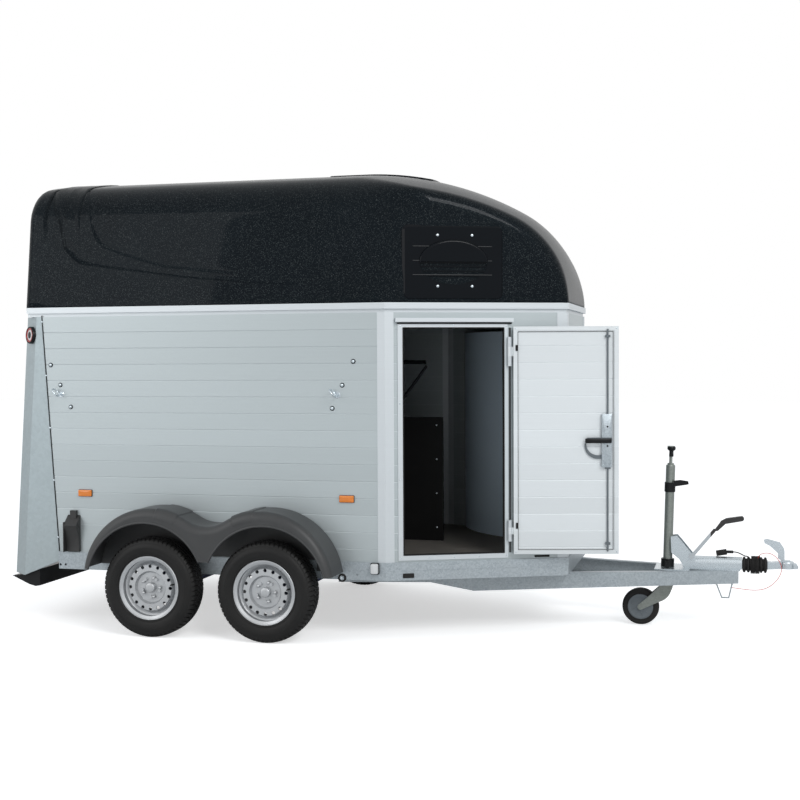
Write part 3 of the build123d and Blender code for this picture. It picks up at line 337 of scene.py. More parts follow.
def bump(tree, shader, height, strength, distance):
    node = addNode(tree, "Bump", Strength=strength, Distance=distance)
    tree.links.new(height, node.inputs["Height"])
    tree.links.new(node.outputs[0], shader.inputs["Normal"])


def soiledPaint(name, colour, dirt, roughness, metallic=0.0, coat=0.0, amount=0.5, vary=0.08, grain=900.0,
                grainDepth=0.0002, grainPower=0.12, specular=0.5, zones=()):
    # Cloudy base colour, dust that gathers low down and a fine grain. A zone is a box with its own
    # colour, roughness and metallic
    material, tree, shader, position = newMaterial(name, Metallic=metallic, Coat_Weight=coat,
                                                   Coat_Roughness=0.08, Coat_IOR=1.35,
                                                   Specular_IOR_Level=specular)
    dirtNode = useGroup(tree, grime, position, Scale=7.0, Top=1.3)
    cloud = dirtNode.outputs["Cloud"]
    base = mixColour(tree, cloud, tint(colour, 1 - vary), tint(colour, 1 + vary))
    rough = scaled(tree, cloud, 0.12, roughness - 0.06)
    metal = None
    for low, high, zoneColour, zoneRough, zoneMetal in zones:
        inside = useGroup(tree, zone, position, Low=tuple(np.add(low, corner)),
                          High=tuple(np.add(high, corner))).outputs[0]
        base = mixColour(tree, inside, base, mixColour(tree, cloud, tint(zoneColour, 0.93), zoneColour))
        rough = mathNode(tree, "ADD", rough, mathNode(tree, "MULTIPLY", inside, zoneRough - roughness))
        metal = mathNode(tree, "ADD", metallic if metal is None else metal,
                         mathNode(tree, "MULTIPLY", inside, zoneMetal - metallic))
    if metal is not None:
        tree.links.new(metal, shader.inputs["Metallic"])
    share = mathNode(tree, "MULTIPLY", dirtNode.outputs["Mask"], amount)
    tree.links.new(mixColour(tree, share, base, dirt), shader.inputs["Base Color"])
    rough = mathNode(tree, "ADD", rough, mathNode(tree, "MULTIPLY", share, 0.3), clamp=True)
    tree.links.new(rough, shader.inputs["Roughness"])
    noise = addNode(tree, "TexNoise", Scale=grain, Detail=2.0)
    tree.links.new(position, noise.inputs["Vector"])
    bump(tree, shader, noise.outputs[0], grainPower, grainDepth)
    return material


def zincSteel(name, light, dark, scale, roughness, metallic):
    # Zinc with its crystals' shades between two colours, pale clouds and dust low down
    material, tree, shader, position = newMaterial(name, Metallic=metallic)
    cells = useGroup(tree, spangle, position, Scale=scale)
    dirtNode = useGroup(tree, grime, position, Scale=4.0, Top=0.9)
    base = mixColour(tree, cells.outputs["Shade"], dark, light)
    pale = mathNode(tree, "MULTIPLY", dirtNode.outputs["Cloud"], 0.35)
    base = mixColour(tree, pale, base, tint(light, 1.25))
    share = mathNode(tree, "MULTIPLY", dirtNode.outputs["Mask"], 0.3)
    tree.links.new(mixColour(tree, share, base, (0.2, 0.19, 0.17)), shader.inputs["Base Color"])
    rough = scaled(tree, cells.outputs["Fine"], 0.16, roughness - 0.08)
    tree.links.new(rough, shader.inputs["Roughness"])
    bump(tree, shader, cells.outputs["Shade"], 0.08, 0.0004)
    return material


def plankAluminium(name, colour, plank, line, metallic):
    # Rolled aluminium: streaks along the planks, a random tone for each plank and a painted highlight along
    # each seam
    material, tree, shader, position = newMaterial(name, Metallic=metallic)
    streaks = useGroup(tree, brush, position, Across=300.0, Along=1.6)
    fine = useGroup(tree, brush, position, Across=1400.0, Along=6.0)
    dirtNode = useGroup(tree, grime, position, Scale=3.0, Top=1.0)
    rows = useGroup(tree, seams, position, First=plank["first"], Pitch=plank["pitch"], Width=plank["width"])
    shade = mathNode(tree, "ADD", mathNode(tree, "MULTIPLY", streaks.outputs[0], 0.35),
                     mathNode(tree, "MULTIPLY", rows.outputs["Row"], 0.35))
    shade = mathNode(tree, "ADD", shade, mathNode(tree, "MULTIPLY", fine.outputs[0], 0.3))
    base = mixColour(tree, shade, tint(colour, 0.86), tint(colour, 1.1))
    share = mathNode(tree, "MULTIPLY", dirtNode.outputs["Mask"], 0.22)
    base = mixColour(tree, share, base, (0.33, 0.33, 0.3))
    # Painted highlight: a pale blue-white line along each seam stands in for light caught on the groove's
    # edge; the line argument sets its strength
    seamHighlight = mathNode(tree, "MULTIPLY", rows.outputs["Line"], scaled(tree, rows.outputs["Row"], 0.6, 0.4))
    tree.links.new(mixColour(tree, mathNode(tree, "MULTIPLY", seamHighlight, line), base, (0.85, 0.9, 0.93)),
                   shader.inputs["Base Color"])
    rough = scaled(tree, fine.outputs[0], 0.2, 0.3)
    tree.links.new(rough, shader.inputs["Roughness"])
    bump(tree, shader, fine.outputs[0], 0.06, 0.0003)
    return material


def flakeGelcoat(name, look):
    # Dark gelcoat with metal flakes: tiny Voronoi cells, a few of them bright, under a clear coat
    material, tree, shader, position = newMaterial(name, Coat_Weight=look["coat"], Coat_Roughness=0.04,
                                                   Coat_IOR=1.28, Metallic=0.2, Specular_IOR_Level=0.02)
    cells = addNode(tree, "TexVoronoi", Scale=look["flakeScale"])
    tree.links.new(position, cells.inputs["Vector"])
    parts = addNode(tree, "SeparateColor")
    tree.links.new(cells.outputs["Color"], parts.inputs[0])
    bright = rampNode(tree, parts.outputs[0], ((0.0, 0.0), (look["flakeCut"], 0.0), (1.0, 1.0)))
    dirtNode = useGroup(tree, grime, position, Scale=2.2, Top=3.2)
    base = mixColour(tree, dirtNode.outputs["Cloud"], look["dark"], look["light"])
    tree.links.new(mixColour(tree, bright, base, look["flake"]), shader.inputs["Base Color"])
    rough = scaled(tree, dirtNode.outputs["Cloud"], 0.1, 0.36)
    tree.links.new(rough, shader.inputs["Roughness"])
    bump(tree, shader, parts.outputs[1], 0.04, 0.0003)
    return material


def lensPlastic(name, colour, ribs=900.0):
    # Coloured lens: fine upright ribs under a clear coat, with painted shade darkening the grooves between
    # the ribs
    material, tree, shader, position = newMaterial(name, Coat_Weight=0.7, Coat_Roughness=0.05,
                                                   Roughness=0.25)
    wave = mathNode(tree, "SINE", mathNode(tree, "MULTIPLY", splitXYZ(tree, position)["X"], ribs))
    level = scaled(tree, wave, 0.5, 0.5)
    # Painted shade: the colour is darker in each groove between ribs and full in each rib's crest
    tree.links.new(mixColour(tree, level, tint(colour, 0.62), colour), shader.inputs["Base Color"])
    bump(tree, shader, wave, 0.3, 0.0008)
    return material


roofColours = {"dark": (0.0016, 0.0034, 0.0052), "light": (0.0042, 0.0078, 0.0108),
               "flake": (0.06, 0.07, 0.072), "flakeScale": 430.0, "flakeCut": 0.88, "coat": 0.28}
plankRows = {"first": groundZ + 1.866, "pitch": 0.096, "width": 0.0042}
noRows = {"first": 0.0, "pitch": 9.0, "width": 0.0001}   # one plank taller than the part

# soiledPaint takes the paint's colour, the dirt's colour and the roughness before the named values
mats = {
    # The line value is the strength of the painted highlight along the plank seams
    "wall": plankAluminium("plankAluminium", (0.44, 0.49, 0.505), plankRows, line=0.2, metallic=0.5),
    "leaf": plankAluminium("leafAluminium", (0.68, 0.72, 0.74), plankRows, line=0.2, metallic=0.35),
    "profile": plankAluminium("profileAluminium", (0.58, 0.62, 0.645), noRows, line=0.0, metallic=0.45),
    "galvanised": zincSteel("galvanisedSteel", (0.44, 0.49, 0.52), (0.24, 0.28, 0.31), scale=120.0,
                            roughness=0.42, metallic=0.5),
    "tube": zincSteel("tubeZinc", (0.26, 0.285, 0.265), (0.17, 0.19, 0.175), scale=120.0,
                      roughness=0.38, metallic=0.6),
    "bright": zincSteel("brightZinc", (0.6, 0.66, 0.7), (0.48, 0.54, 0.58), scale=190.0,
                        roughness=0.26, metallic=0.85),
    "roof": flakeGelcoat("roofGelcoat", roofColours),
    "guard": soiledPaint("guardPlastic", (0.036, 0.038, 0.040), (0.12, 0.115, 0.105), 0.42, amount=0.18,
                         vary=0.12, grainDepth=0.0004, grainPower=0.25, specular=0.35),
    "black": soiledPaint("blackPlastic", (0.006, 0.007, 0.008), (0.04, 0.037, 0.034), 0.32, amount=0.15,
                         specular=0.2),
    "gloss": soiledPaint("glossBlack", (0.003, 0.0045, 0.0065), (0.02, 0.02, 0.02), 0.2, coat=0.2,
                         amount=0.05, grainPower=0.03, specular=0.04),
    "lock": soiledPaint("lockPaint", (0.12, 0.14, 0.155), (0.12, 0.11, 0.1), 0.38, metallic=0.3,
                        amount=0.1),
    "rubber": soiledPaint("blackRubber", (0.009, 0.009, 0.0095), (0.07, 0.064, 0.056), 0.62, amount=0.2,
                          specular=0.2),
    "tyre": soiledPaint("tyreRubber", (0.0065, 0.0068, 0.0072), (0.05, 0.046, 0.04), 0.48, amount=0.16,
                        vary=0.15, grain=500.0, specular=0.22),
    "rim": soiledPaint("rimSilver", (0.5, 0.52, 0.54), (0.2, 0.18, 0.16), 0.34, metallic=0.7,
                       amount=0.3, vary=0.05),
    "blue": soiledPaint("axlePaint", (0.012, 0.03, 0.1), (0.06, 0.055, 0.05), 0.4, amount=0.5),
    # The lining's colour is a pale panel colour with painted blue sky light mixed in, as if lit through the
    # open door
    "lining": soiledPaint("nosePanelLining", (0.70, 0.83, 0.94), (0.45, 0.46, 0.46), 0.35, amount=0.12,
                          vary=0.04),
    "board": soiledPaint("kickBoard", (0.004, 0.0042, 0.0045), (0.05, 0.045, 0.04), 0.5, amount=0.1,
                         specular=0.15),
    "post": zincSteel("postZinc", (0.37, 0.43, 0.45), (0.31, 0.36, 0.38), scale=60.0,
                      roughness=0.45, metallic=0.4),
    "floor": soiledPaint("floorRubber", (0.075, 0.070, 0.064), (0.17, 0.155, 0.13), 0.75, amount=0.7,
                         vary=0.2),
    "fabric": soiledPaint("curtainFabric", (0.05, 0.055, 0.06), (0.12, 0.11, 0.1), 0.7, amount=0.3,
                          grain=1600.0, grainPower=0.4),
    "red": soiledPaint("ropeCoating", (0.55, 0.035, 0.02), (0.2, 0.08, 0.06), 0.4, amount=0.2),
    "chock": soiledPaint("chockPlastic", (0.012, 0.013, 0.014), (0.08, 0.075, 0.07), 0.5, amount=0.3),
    "handle": soiledPaint("leverZinc", (0.5, 0.54, 0.57), (0.2, 0.19, 0.17), 0.3, metallic=0.8,
                          amount=0.2, zones=[((1.77, -0.2, 0.50), (2.2, 0.2, 0.75),
                                              (0.007, 0.007, 0.008), 0.2, 0.0)]),
    "amber": lensPlastic("amberLens", (0.86, 0.23, 0.005)),
    "redLens": lensPlastic("redLens", (0.5, 0.012, 0.01)),
    "clear": lensPlastic("clearLens", (0.75, 0.77, 0.78)),
}

nodeFinish = {
    "wall": ("wall_right", "wall_left", "panel_right", "panel_left", "nose_panel"),
    "leaf": ("door_leaf",),
    "profile": ("body_frame", "door_frame", "ramp"),
    "galvanised": ("sill_right", "sill_left", "sill_nose", "cross_members", "drawbar_right",
                   "drawbar_left", "rear_beam", "hitch_rods"),
    "post": ("rear_post_right", "rear_post_left"),
    "tube": ("jockey_tube", "jockey_fork"),
    "bright": ("overrun_housing", "coupling_head", "coupling_handle", "handbrake_bracket",
               "jockey_leg"),
    "roof": ("roof", "roof_hatch"),
    "guard": ("mudguard_right", "mudguard_left"),
    "black": ("light_bar", "breast_bars", "partition_post", "jockey_clamp"),
    "gloss": ("vent_right", "vent_left"),
    "lock": ("door_lock",),
    "handle": ("handbrake_lever",),
    "rubber": ("bellows", "jockey_wheel", "cable_coil", "cable_plug", "trailer_cable"),
    "red": ("breakaway_cable",),
    "chock": ("wheel_chock",),
    "tyre": tuple(n for n in nodes if n.startswith("tyre_")),
    "rim": tuple(n for n in nodes if n.startswith("rim_")),
    "blue": ("axle_rear", "axle_front"),
    "lining": ("nose_lining",),
    "board": ("partition",),
    "floor": ("floor",),
    "fabric": ("rear_curtain",),
}


def paintNode(name, material):
    slots = nodes[name].data.materials
    if len(slots) == 0:
        slots.append(material)
    for i in range(len(slots)):
        slots[i] = material


for finish, names in nodeFinish.items():
    for nodeName in names:
        paintNode(nodeName, mats[finish])
trailerCable.data.materials.append(mats["rubber"])
safetyRope.data.materials.append(mats["red"])
print("materials made:", len(mats))


def quadRows(rows, columns, wrapRows=False, wrapColumns=False):
    # Four corners of each cell of a grid of points, row after row
    index = np.arange(rows * columns).reshape(rows, columns)
    down, right = np.roll(index, -1, 0), np.roll(index, -1, 1)
    quads = np.stack([index, right, np.roll(down, -1, 1), down], axis=-1)
    if not wrapRows:
        quads = quads[:-1]
    if not wrapColumns:
        quads = quads[:, :-1]
    return quads.reshape(-1, 4)


def makePiece(name, parts, material, body="root", sharp=40.0, fixNormals=True, replaced=()):
    # parts are (points, quads); equal points are welded, and edges sharper than the angle stay sharp
    counts = np.cumsum([0] + [len(points) for points, quads in parts])
    points = np.vstack([p for p, q in parts])
    quads = np.vstack([q + start for (p, q), start in zip(parts, counts)])
    mesh = bpy.data.meshes.new(name)
    mesh.from_pydata(points.tolist(), [], quads.tolist())
    work = bmesh.new()
    work.from_mesh(mesh)
    bmesh.ops.remove_doubles(work, verts=work.verts, dist=0.00002)
    bmesh.ops.dissolve_degenerate(work, edges=work.edges, dist=0.00001)
    if fixNormals:
        bmesh.ops.recalc_face_normals(work, faces=work.faces)
    work.to_mesh(mesh)
    work.free()
    mesh.polygons.foreach_set("use_smooth", [True] * len(mesh.polygons))
    mesh.set_sharp_from_angle(angle=math.radians(sharp))
    mesh.materials.append(material)
    piece = bpy.data.objects.new(name, mesh)
    bpy.context.collection.objects.link(piece)
    if replaced:
        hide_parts(*replaced)
    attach(piece, body)
    return piece


def turned(profile, segments):
    # A profile of (radius, height) rows turned round local Z; rows with radius 0 close it
    profile = np.asarray(profile, float)
    angle = np.arange(segments) * 2 * np.pi / segments
    r, z = profile[:, :1], profile[:, 1:]
    points = np.stack([r * np.cos(angle), r * np.sin(angle), z + 0 * angle], axis=-1)
    return points.reshape(-1, 3), quadRows(len(profile), segments, wrapColumns=True)


def roundPlate(wide, tall, radius, layers, segments=6):
    # Layers (inset, height) of one rounded rectangle, closed at both ends at its middle
    turn = np.linspace(0, np.pi / 2, segments)
    rows = []
    for inset, height in layers:
        r = max(radius - inset, 0.0002)
        x = np.concatenate([(wide / 2 - inset - r) * s + r * np.cos(turn + a) for s, a in
                            ((1, 0), (-1, np.pi / 2), (-1, np.pi), (1, 3 * np.pi / 2))])
        y = np.concatenate([(tall / 2 - inset - r) * s + r * np.sin(turn + a) for s, a in
                            ((1, 0), (1, np.pi / 2), (-1, np.pi), (-1, 3 * np.pi / 2))])
        rows.append(np.stack([x, y, np.full(x.shape, height)], -1))
    first, last = rows[0] * (0, 0, 1), rows[-1] * (0, 0, 1)
    grid = np.stack([first] + rows + [last])
    return grid.reshape(-1, 3), quadRows(*grid.shape[:2], wrapColumns=True)


def tubeAlong(path, radius, segments=10, closed=False, side=(0.0, 1.0, 0.0)):
    # A circle carried along a path. Its first axis is the path's direction crossed with the side, and
    # its second is the first crossed with the direction
    path = np.asarray(path, float)
    if closed:
        ahead = np.roll(path, -1, 0) - np.roll(path, 1, 0)
    else:
        ahead = np.gradient(path, axis=0)
    ahead /= np.linalg.norm(ahead, axis=1)[:, None]
    across = np.cross(ahead, np.asarray(side, float))
    across /= np.linalg.norm(across, axis=1)[:, None]
    other = np.cross(across, ahead)
    angle = np.arange(segments) * 2 * np.pi / segments
    radius = np.broadcast_to(np.asarray(radius, float), (len(path),))[:, None, None]
    ring = (np.cos(angle)[None, :, None] * across[:, None]
            + np.sin(angle)[None, :, None] * other[:, None])
    grid = path[:, None] + radius * ring
    if not closed:
        grid = np.concatenate([np.repeat(path[:1, None], segments, 1), grid,
                               np.repeat(path[-1:, None], segments, 1)])
    return grid.reshape(-1, 3), quadRows(grid.shape[0], segments, wrapRows=closed, wrapColumns=True)


def frameAt(place, axisX, axisZ):
    # 4x4 matrix with local X and Z along the given directions, at a place measured from the corner
    x, z = np.asarray(axisX, float), np.asarray(axisZ, float)
    x, z = x / np.linalg.norm(x), z / np.linalg.norm(z)
    matrix = np.eye(4)
    matrix[:3, 0], matrix[:3, 1], matrix[:3, 2] = x, np.cross(z, x), z
    matrix[:3, 3] = np.asarray(place, float) + corner
    return matrix


def put(part, matrix):
    # The part's points turned and moved by the matrix
    points, quads = part
    return points @ matrix[:3, :3].T + matrix[:3, 3], quads


def bothSides(part):
    # The part and its mirror image across the middle, with the corners turned round
    points, quads = part
    return [part, (points * (1, -1, 1), quads[:, ::-1])]


def plateAt(place, wide, tall, radius, *layers):
    return put(roundPlate(wide, tall, radius, layers), place)


# The body seen from above, and the open door leaf's turn in degrees about its hinge
bodyPlan = {"rearX": -2.205, "halfWidth": 0.85, "noseX": 0.971, "noseHalf": 0.415}
leafPlan = {"open": 169.25, "hingeS": 0.716, "hingeOut": -0.0235}
rightOut = (0.0, -1.0, 0.0)
panelAngle = math.atan2(bodyPlan["halfWidth"] - bodyPlan["noseHalf"], bodyPlan["noseX"])
panelAlong = (math.cos(panelAngle), math.sin(panelAngle), 0.0)
panelOut = (math.sin(panelAngle), -math.cos(panelAngle), 0.0)


def wallFrame(x, z, out=0.0):
    return frameAt((x, -bodyPlan["halfWidth"] - out, z), (1, 0, 0), rightOut)


def panelFrame(s, z, out=0.0):
    # s runs along the angled panel from the body's corner
    place = np.array([0.0, -bodyPlan["halfWidth"], z]) + s * np.array(panelAlong) + out * np.array(panelOut)
    return frameAt(place, panelAlong, panelOut)


def leafFrame(s, z, inward=0.0):
    # A place on the inner face of the open door, measured along the closed leaf and turned about the hinge
    turn = math.radians(leafPlan["open"])
    c, n = math.cos(turn), math.sin(turn)
    hingeS, hingeOut = leafPlan["hingeS"], leafPlan["hingeOut"]
    ds, dy = s - hingeS, inward
    s2, y2 = hingeS + c * ds - n * dy, hingeOut + n * ds + c * dy
    a, b = math.cos(panelAngle), math.sin(panelAngle)
    along = (a * c - b * n, b * c + a * n, 0.0)
    outward = (-a * n - b * c, -b * n + a * c, 0.0)
    return frameAt((a * s2 - b * y2, -bodyPlan["halfWidth"] + b * s2 + a * y2, z), along, outward)


def onWalls(part, x, z, out=0.0):
    return bothSides(put(part, wallFrame(x, z, out)))


def onPanels(part, s, z, out=0.0):
    return bothSides(put(part, panelFrame(s, z, out)))


def domeBolt(radius, height):
    # A flattened dome turned round its axis
    return turned([(0, height), (radius * 0.5, height * 0.88), (radius * 0.85, height * 0.5), (radius, 0),
                   (radius, -0.001), (0, -0.001)], 14)


def crossScrew(radius):
    # A flat screw head with a sunk middle, turned round its axis
    return turned([(0, 0.0006), (radius * 0.42, 0.0006), (radius * 0.5, 0.0018), (radius * 0.9, 0.0014),
                   (radius, 0), (radius, -0.001), (0, -0.001)], 14)


def hexBolt(radius, height):
    # A bevelled head turned in six steps, on a round washer
    head = turned([(0, height), (radius * 0.85, height), (radius, height * 0.85), (radius, 0), (0, 0)], 6)
    washer = turned([(0, 0.0018), (radius * 1.25, 0.0018), (radius * 1.35, 0), (0, 0)], 18)
    return (np.vstack([head[0], washer[0]]), np.vstack([head[1], washer[1] + len(head[0])]))


# The roof moulding, worked out as the surface of a solid field
roofShape = {"rear": -2.265, "rail": 1.921, "crown": 2.725, "turn": -0.270, "noseX": bodyPlan["noseX"],
             "noseR": 0.615, "noseZ": 1.943, "crownR": 2.6064, "lean": 0.0608 / 0.5214,
             "shoulder": (0.163, 0.050), "rearRound": 0.060, "skin": 0.006, "rows": 96, "panelColumns": 84,
             "shoulderEase": (-0.30, 0.15), "panelRound": (0.012, 0.038), "panelEase": (1.93, 2.15),
             "bandRise": 0.0065, "bandTight": math.radians(0.22), "bandSoft": math.radians(1.6),
             "bandEnd": (-0.58, -0.43), "evenEase": (-0.44, -0.10)}


def roundJoin(a, b, radius):
    # Greater of two distances with a round of the radius where they meet
    return (np.minimum(-radius, np.maximum(a, b))
            + np.hypot(np.maximum(a + radius, 0), np.maximum(b + radius, 0)))


def easeStep(value, low, high):
    # 0 below low, 1 above high and a smooth rise between them
    t = np.clip((value - low) / (high - low), 0, 1)
    return t * t * (3 - 2 * t)


def roofField(p):
    # Below 0 inside: leaning side, crown that bends down to the nose in two arcs, angled face, rear
    r = roofShape
    x, y, z = p[..., 0], np.abs(p[..., 1]), p[..., 2]
    side = (y - bodyPlan["halfWidth"] + r["lean"] * (z - r["rail"])) / math.hypot(1, r["lean"])
    centreX = r["noseX"] - r["noseR"]
    lift = r["crown"] - r["noseZ"]
    longR = ((centreX - r["turn"]) ** 2 + lift ** 2 - r["noseR"] ** 2) / (2 * (lift - r["noseR"]))
    turn = math.atan2(centreX - r["turn"], r["noseZ"] - r["crown"] + longR)
    angleA = np.arctan2(x - r["turn"], z - r["crown"] + longR)
    distA = np.hypot(x - r["turn"], z - r["crown"] + longR) - longR
    angleB = np.arctan2(x - centreX, z - r["noseZ"])
    distB = np.hypot(x - centreX, z - r["noseZ"]) - r["noseR"]
    low = np.where(z > r["noseZ"], distB, x - r["noseX"])
    crown = np.where(x < r["turn"], z - r["crown"], np.where(angleA < turn, distA, low))
    share = np.clip((angleB - turn) / (np.pi / 2 - turn), 0, 1)
    crown = crown + y ** 2 / (2 * r["crownR"]) * np.where(angleA < turn, 1.0, 1 - share ** 1.4)
    wide, narrow = r["shoulder"]
    body = roundJoin(side, crown, wide + (narrow - wide) * easeStep(x, *r["shoulderEase"]))
    angled = x * math.sin(panelAngle) + (y - bodyPlan["halfWidth"]) * math.cos(panelAngle)
    least, more = r["panelRound"]
    body = roundJoin(body, angled, least + more * easeStep(z, *r["panelEase"]))
    return roundJoin(body, r["rear"] - x, r["rearRound"])


def bandAngles(x):
    # The raised band's outer and inner edge as angles about the middle line at rail height
    outer = np.array([(-2.162, 90), (-2.133, 47.4), (-2.085, 38.0), (-2.032, 30.6), (-1.999, 23.3),
                      (-1.964, 21.0), (-1.916, 18.4), (-1.868, 17.4), (-1.637, 15.3), (-1.186, 11.2),
                      (-0.810, 8.7), (-0.439, 7.4)])
    inner = np.array([(-1.942, 90), (-1.913, 46.2), (-1.845, 35.4), (-1.818, 29.6), (-1.790, 26.6),
                      (-1.748, 24.0), (-1.695, 22.4), (-1.576, 19.9), (-1.341, 15.6), (-0.949, 12.6),
                      (-0.690, 10.2), (-0.439, 7.5)])
    return (np.radians(np.interp(x, table[:, 0], table[:, 1])) for table in (outer, inner))


def roofRows(x):
    # Angles of the rows in each column, packed at the band's edges and even towards the front
    outer, inner = bandAngles(x)
    quarter = np.pi / 2
    tight, soft = roofShape["bandTight"], roofShape["bandSoft"]
    stops = [np.zeros_like(x), outer - tight, outer + tight,
             np.maximum(inner - soft, outer + tight * 2), inner + soft, np.full_like(x, quarter)]
    stops = np.clip(np.stack(stops), 0, quarter)
    stops = np.maximum.accumulate(stops, axis=0)
    counts = (36, 1, 9, 7, roofShape["rows"] - 54)
    pieces = [stops[i] + (stops[i + 1] - stops[i]) * (np.arange(n) / n)[:, None]
              for i, n in enumerate(counts)]
    packed = np.vstack(pieces + [stops[-1:]])
    even = np.linspace(0, quarter, packed.shape[0])[:, None] + 0 * x
    share = easeStep(x, *roofShape["evenEase"])
    return packed * (1 - share) + even * share


def rayReach(start, rays, level=0.0, halvings=26, near=0.3, far=1.6):
    # How far each ray gets from its start before the field passes the level, by halving the gap
    low, high = np.full(rays.shape[:-1], near), np.full(rays.shape[:-1], far)
    for _ in range(halvings):
        middle = (low + high) / 2
        outside = roofField(start + middle[..., None] * rays) > level
        low, high = np.where(outside, low, middle), np.where(outside, middle, high)
    return low


def buildRoof():
    # Rays go out from the middle line at rail height, and each stops where the field is 0
    r = roofShape
    x = np.concatenate([[-2.2628, -2.258, -2.250, -2.240, -2.228, -2.215, -2.204],
                        np.arange(-2.192, -1.76, 0.009), np.arange(-1.75, -0.03, 0.021), [-0.02]])
    fan = np.linspace(0, np.pi / 2, r["panelColumns"])[1:]
    columnX = np.concatenate([x, np.full(len(fan), x[-1])])
    heading = np.concatenate([np.zeros(len(x)), fan])
    flat = np.stack([np.sin(heading), -np.cos(heading), 0 * heading], -1)
    phi = roofRows(columnX)
    direction = np.cos(phi)[..., None] * flat + np.sin(phi)[..., None] * (0, 0, 1)
    start = np.stack([columnX, 0 * columnX, np.full(len(columnX), r["rail"])], -1)
    reach = rayReach(start, direction)
    outer, inner = bandAngles(columnX)
    rise = np.clip((phi - outer) / r["bandTight"], -1, 1) * 0.5 + 0.5
    rise = rise * (1 - easeStep(phi, inner - r["bandSoft"], inner + r["bandSoft"]))
    rise = rise * (1 - easeStep(columnX, *r["bandEnd"])) * (columnX > bodyPlan["rearX"])
    grid = start + (reach + r["bandRise"] * rise)[..., None] * direction
    grid[-1, :, 1] = 0.0
    parts = bothSides((grid.reshape(-1, 3) + corner, quadRows(*phi.shape)[:, ::-1]))
    piece = makePiece("roofMoulding", parts, mats["roof"], fixNormals=False, sharp=60.0,
                      replaced=("roof",))
    shell = piece.modifiers.new("skin", "SOLIDIFY")
    shell.thickness = r["skin"]
    shell.offset = -1.0


def buildRoofLip():
    # A small round-edged flange carried along the rail: both sides, the angled faces and the nose
    out = 0.003
    a = panelAngle
    wide = bodyPlan["halfWidth"] + out
    half = [(bodyPlan["rearX"], wide), (out * math.tan(a / 2), wide),
            (bodyPlan["noseX"] + out, bodyPlan["noseHalf"] + out * math.cos(a) / (1 + math.sin(a)))]
    plan = np.array([(x, -y) for x, y in half] + list(reversed(half)))
    steps = np.diff(plan, axis=0)
    normals = np.stack([steps[:, 1], -steps[:, 0]], -1) / np.linalg.norm(steps, axis=1)[:, None]
    first = np.vstack([normals[:1], normals])
    second = np.vstack([normals, normals[-1:]])
    mitre = (first + second) / (1 + np.sum(first * second, 1))[:, None]
    profile = np.array([(-0.006, 1.9212), (-0.0004, 1.9212), (0.0, 1.9222), (0.0, 1.9292),
                        (-0.0012, 1.9305), (-0.006, 1.9330)])
    grid = np.concatenate([plan[:, None] + profile[:, :1] * mitre[:, None],
                           np.broadcast_to(profile[:, 1:], (len(plan), len(profile), 1))], -1)
    part = (grid.reshape(-1, 3) + corner, quadRows(len(plan), len(profile), wrapColumns=True))
    makePiece("roofLip", [part], mats["roof"])


buildRoof()
buildRoofLip()
print("roof made")

# Curtain that closes the rear opening over the ramp
curtainLook = {"x": -2.222, "low": 1.857, "inset": 0.012, "narrow": 0.757, "wave": 0.004,
               "flat": (1.68, 0.86), "fan": (22, 61), "strip": (4, 31), "halvings": 24}


def buildCurtain():
    # Rows fan out from the middle of the rail up to the roof's inside, with a plain strip below
    look = curtainLook
    phi = np.linspace(0, np.pi, look["fan"][1])
    rays = np.stack([0 * phi, -np.cos(phi), np.sin(phi)], -1)
    start = np.array([look["x"], 0.0, roofShape["rail"]])
    reach = rayReach(start, rays, -look["inset"], look["halvings"])
    share = np.linspace(0, 1, look["fan"][0])[:, None, None]
    fan = start + share * (reach[:, None] * rays)
    y = np.linspace(-look["narrow"], look["narrow"], look["strip"][1])
    z = np.linspace(look["low"], roofShape["rail"], look["strip"][0])
    strip = np.stack(np.broadcast_arrays(look["x"], y[None, :], z[:, None]), -1)
    for grid in (fan, strip):
        grid[..., 0] += look["wave"] * np.sin(grid[..., 1] * 13) * np.cos((grid[..., 2] - 1.9) * 3.2)
    parts = [(fan.reshape(-1, 3) + corner, quadRows(*look["fan"])),
             (strip.reshape(-1, 3) + corner, quadRows(*look["strip"]))]
    piece = makePiece("rearBlind", parts, mats["fabric"], replaced=("rear_curtain",))


buildCurtain()
print("curtain made")

# Wheels: tyres with ribs and cut blocks, rim bolts, caps and valves. A row of the tyre's wall is its
# radius, its distance from the middle plane and how far the cuts between the blocks go down there
tyreLook = {
    "blocks": 64, "cut": (0.0, 0.04, 0.78, 0.82), "lowered": (1.0, 0.0, 0.0, 1.0), "skew": 0.9,
    "grooves": (-0.032, 0.0, 0.032), "grooveHalf": 0.0042, "grooveDepth": 0.006, "outerR": 0.2885,
    "wall": ((0.169, 0.055, 0), (0.176, 0.062, 0), (0.1835, 0.0705, 0), (0.1905, 0.0765, 0),
             (0.1932, 0.0790, 0), (0.1938, 0.0806, 0), (0.1972, 0.0808, 0), (0.1980, 0.0800, 0),
             (0.2060, 0.0832, 0), (0.2180, 0.0850, 0), (0.2305, 0.0857, 0), (0.2310, 0.0850, 0),
             (0.2340, 0.0850, 0), (0.2345, 0.0856, 0), (0.2450, 0.0842, 0), (0.2555, 0.0808, 0),
             (0.2625, 0.0758, 0), (0.2645, 0.0746, 0), (0.2690, 0.0728, 0.004), (0.2745, 0.0700, 0.0055),
             (0.2800, 0.0655, 0.006), (0.2840, 0.0598, 0.006), (0.2866, 0.0525, 0.006),
             (0.2878, 0.0440, 0.006)),
}
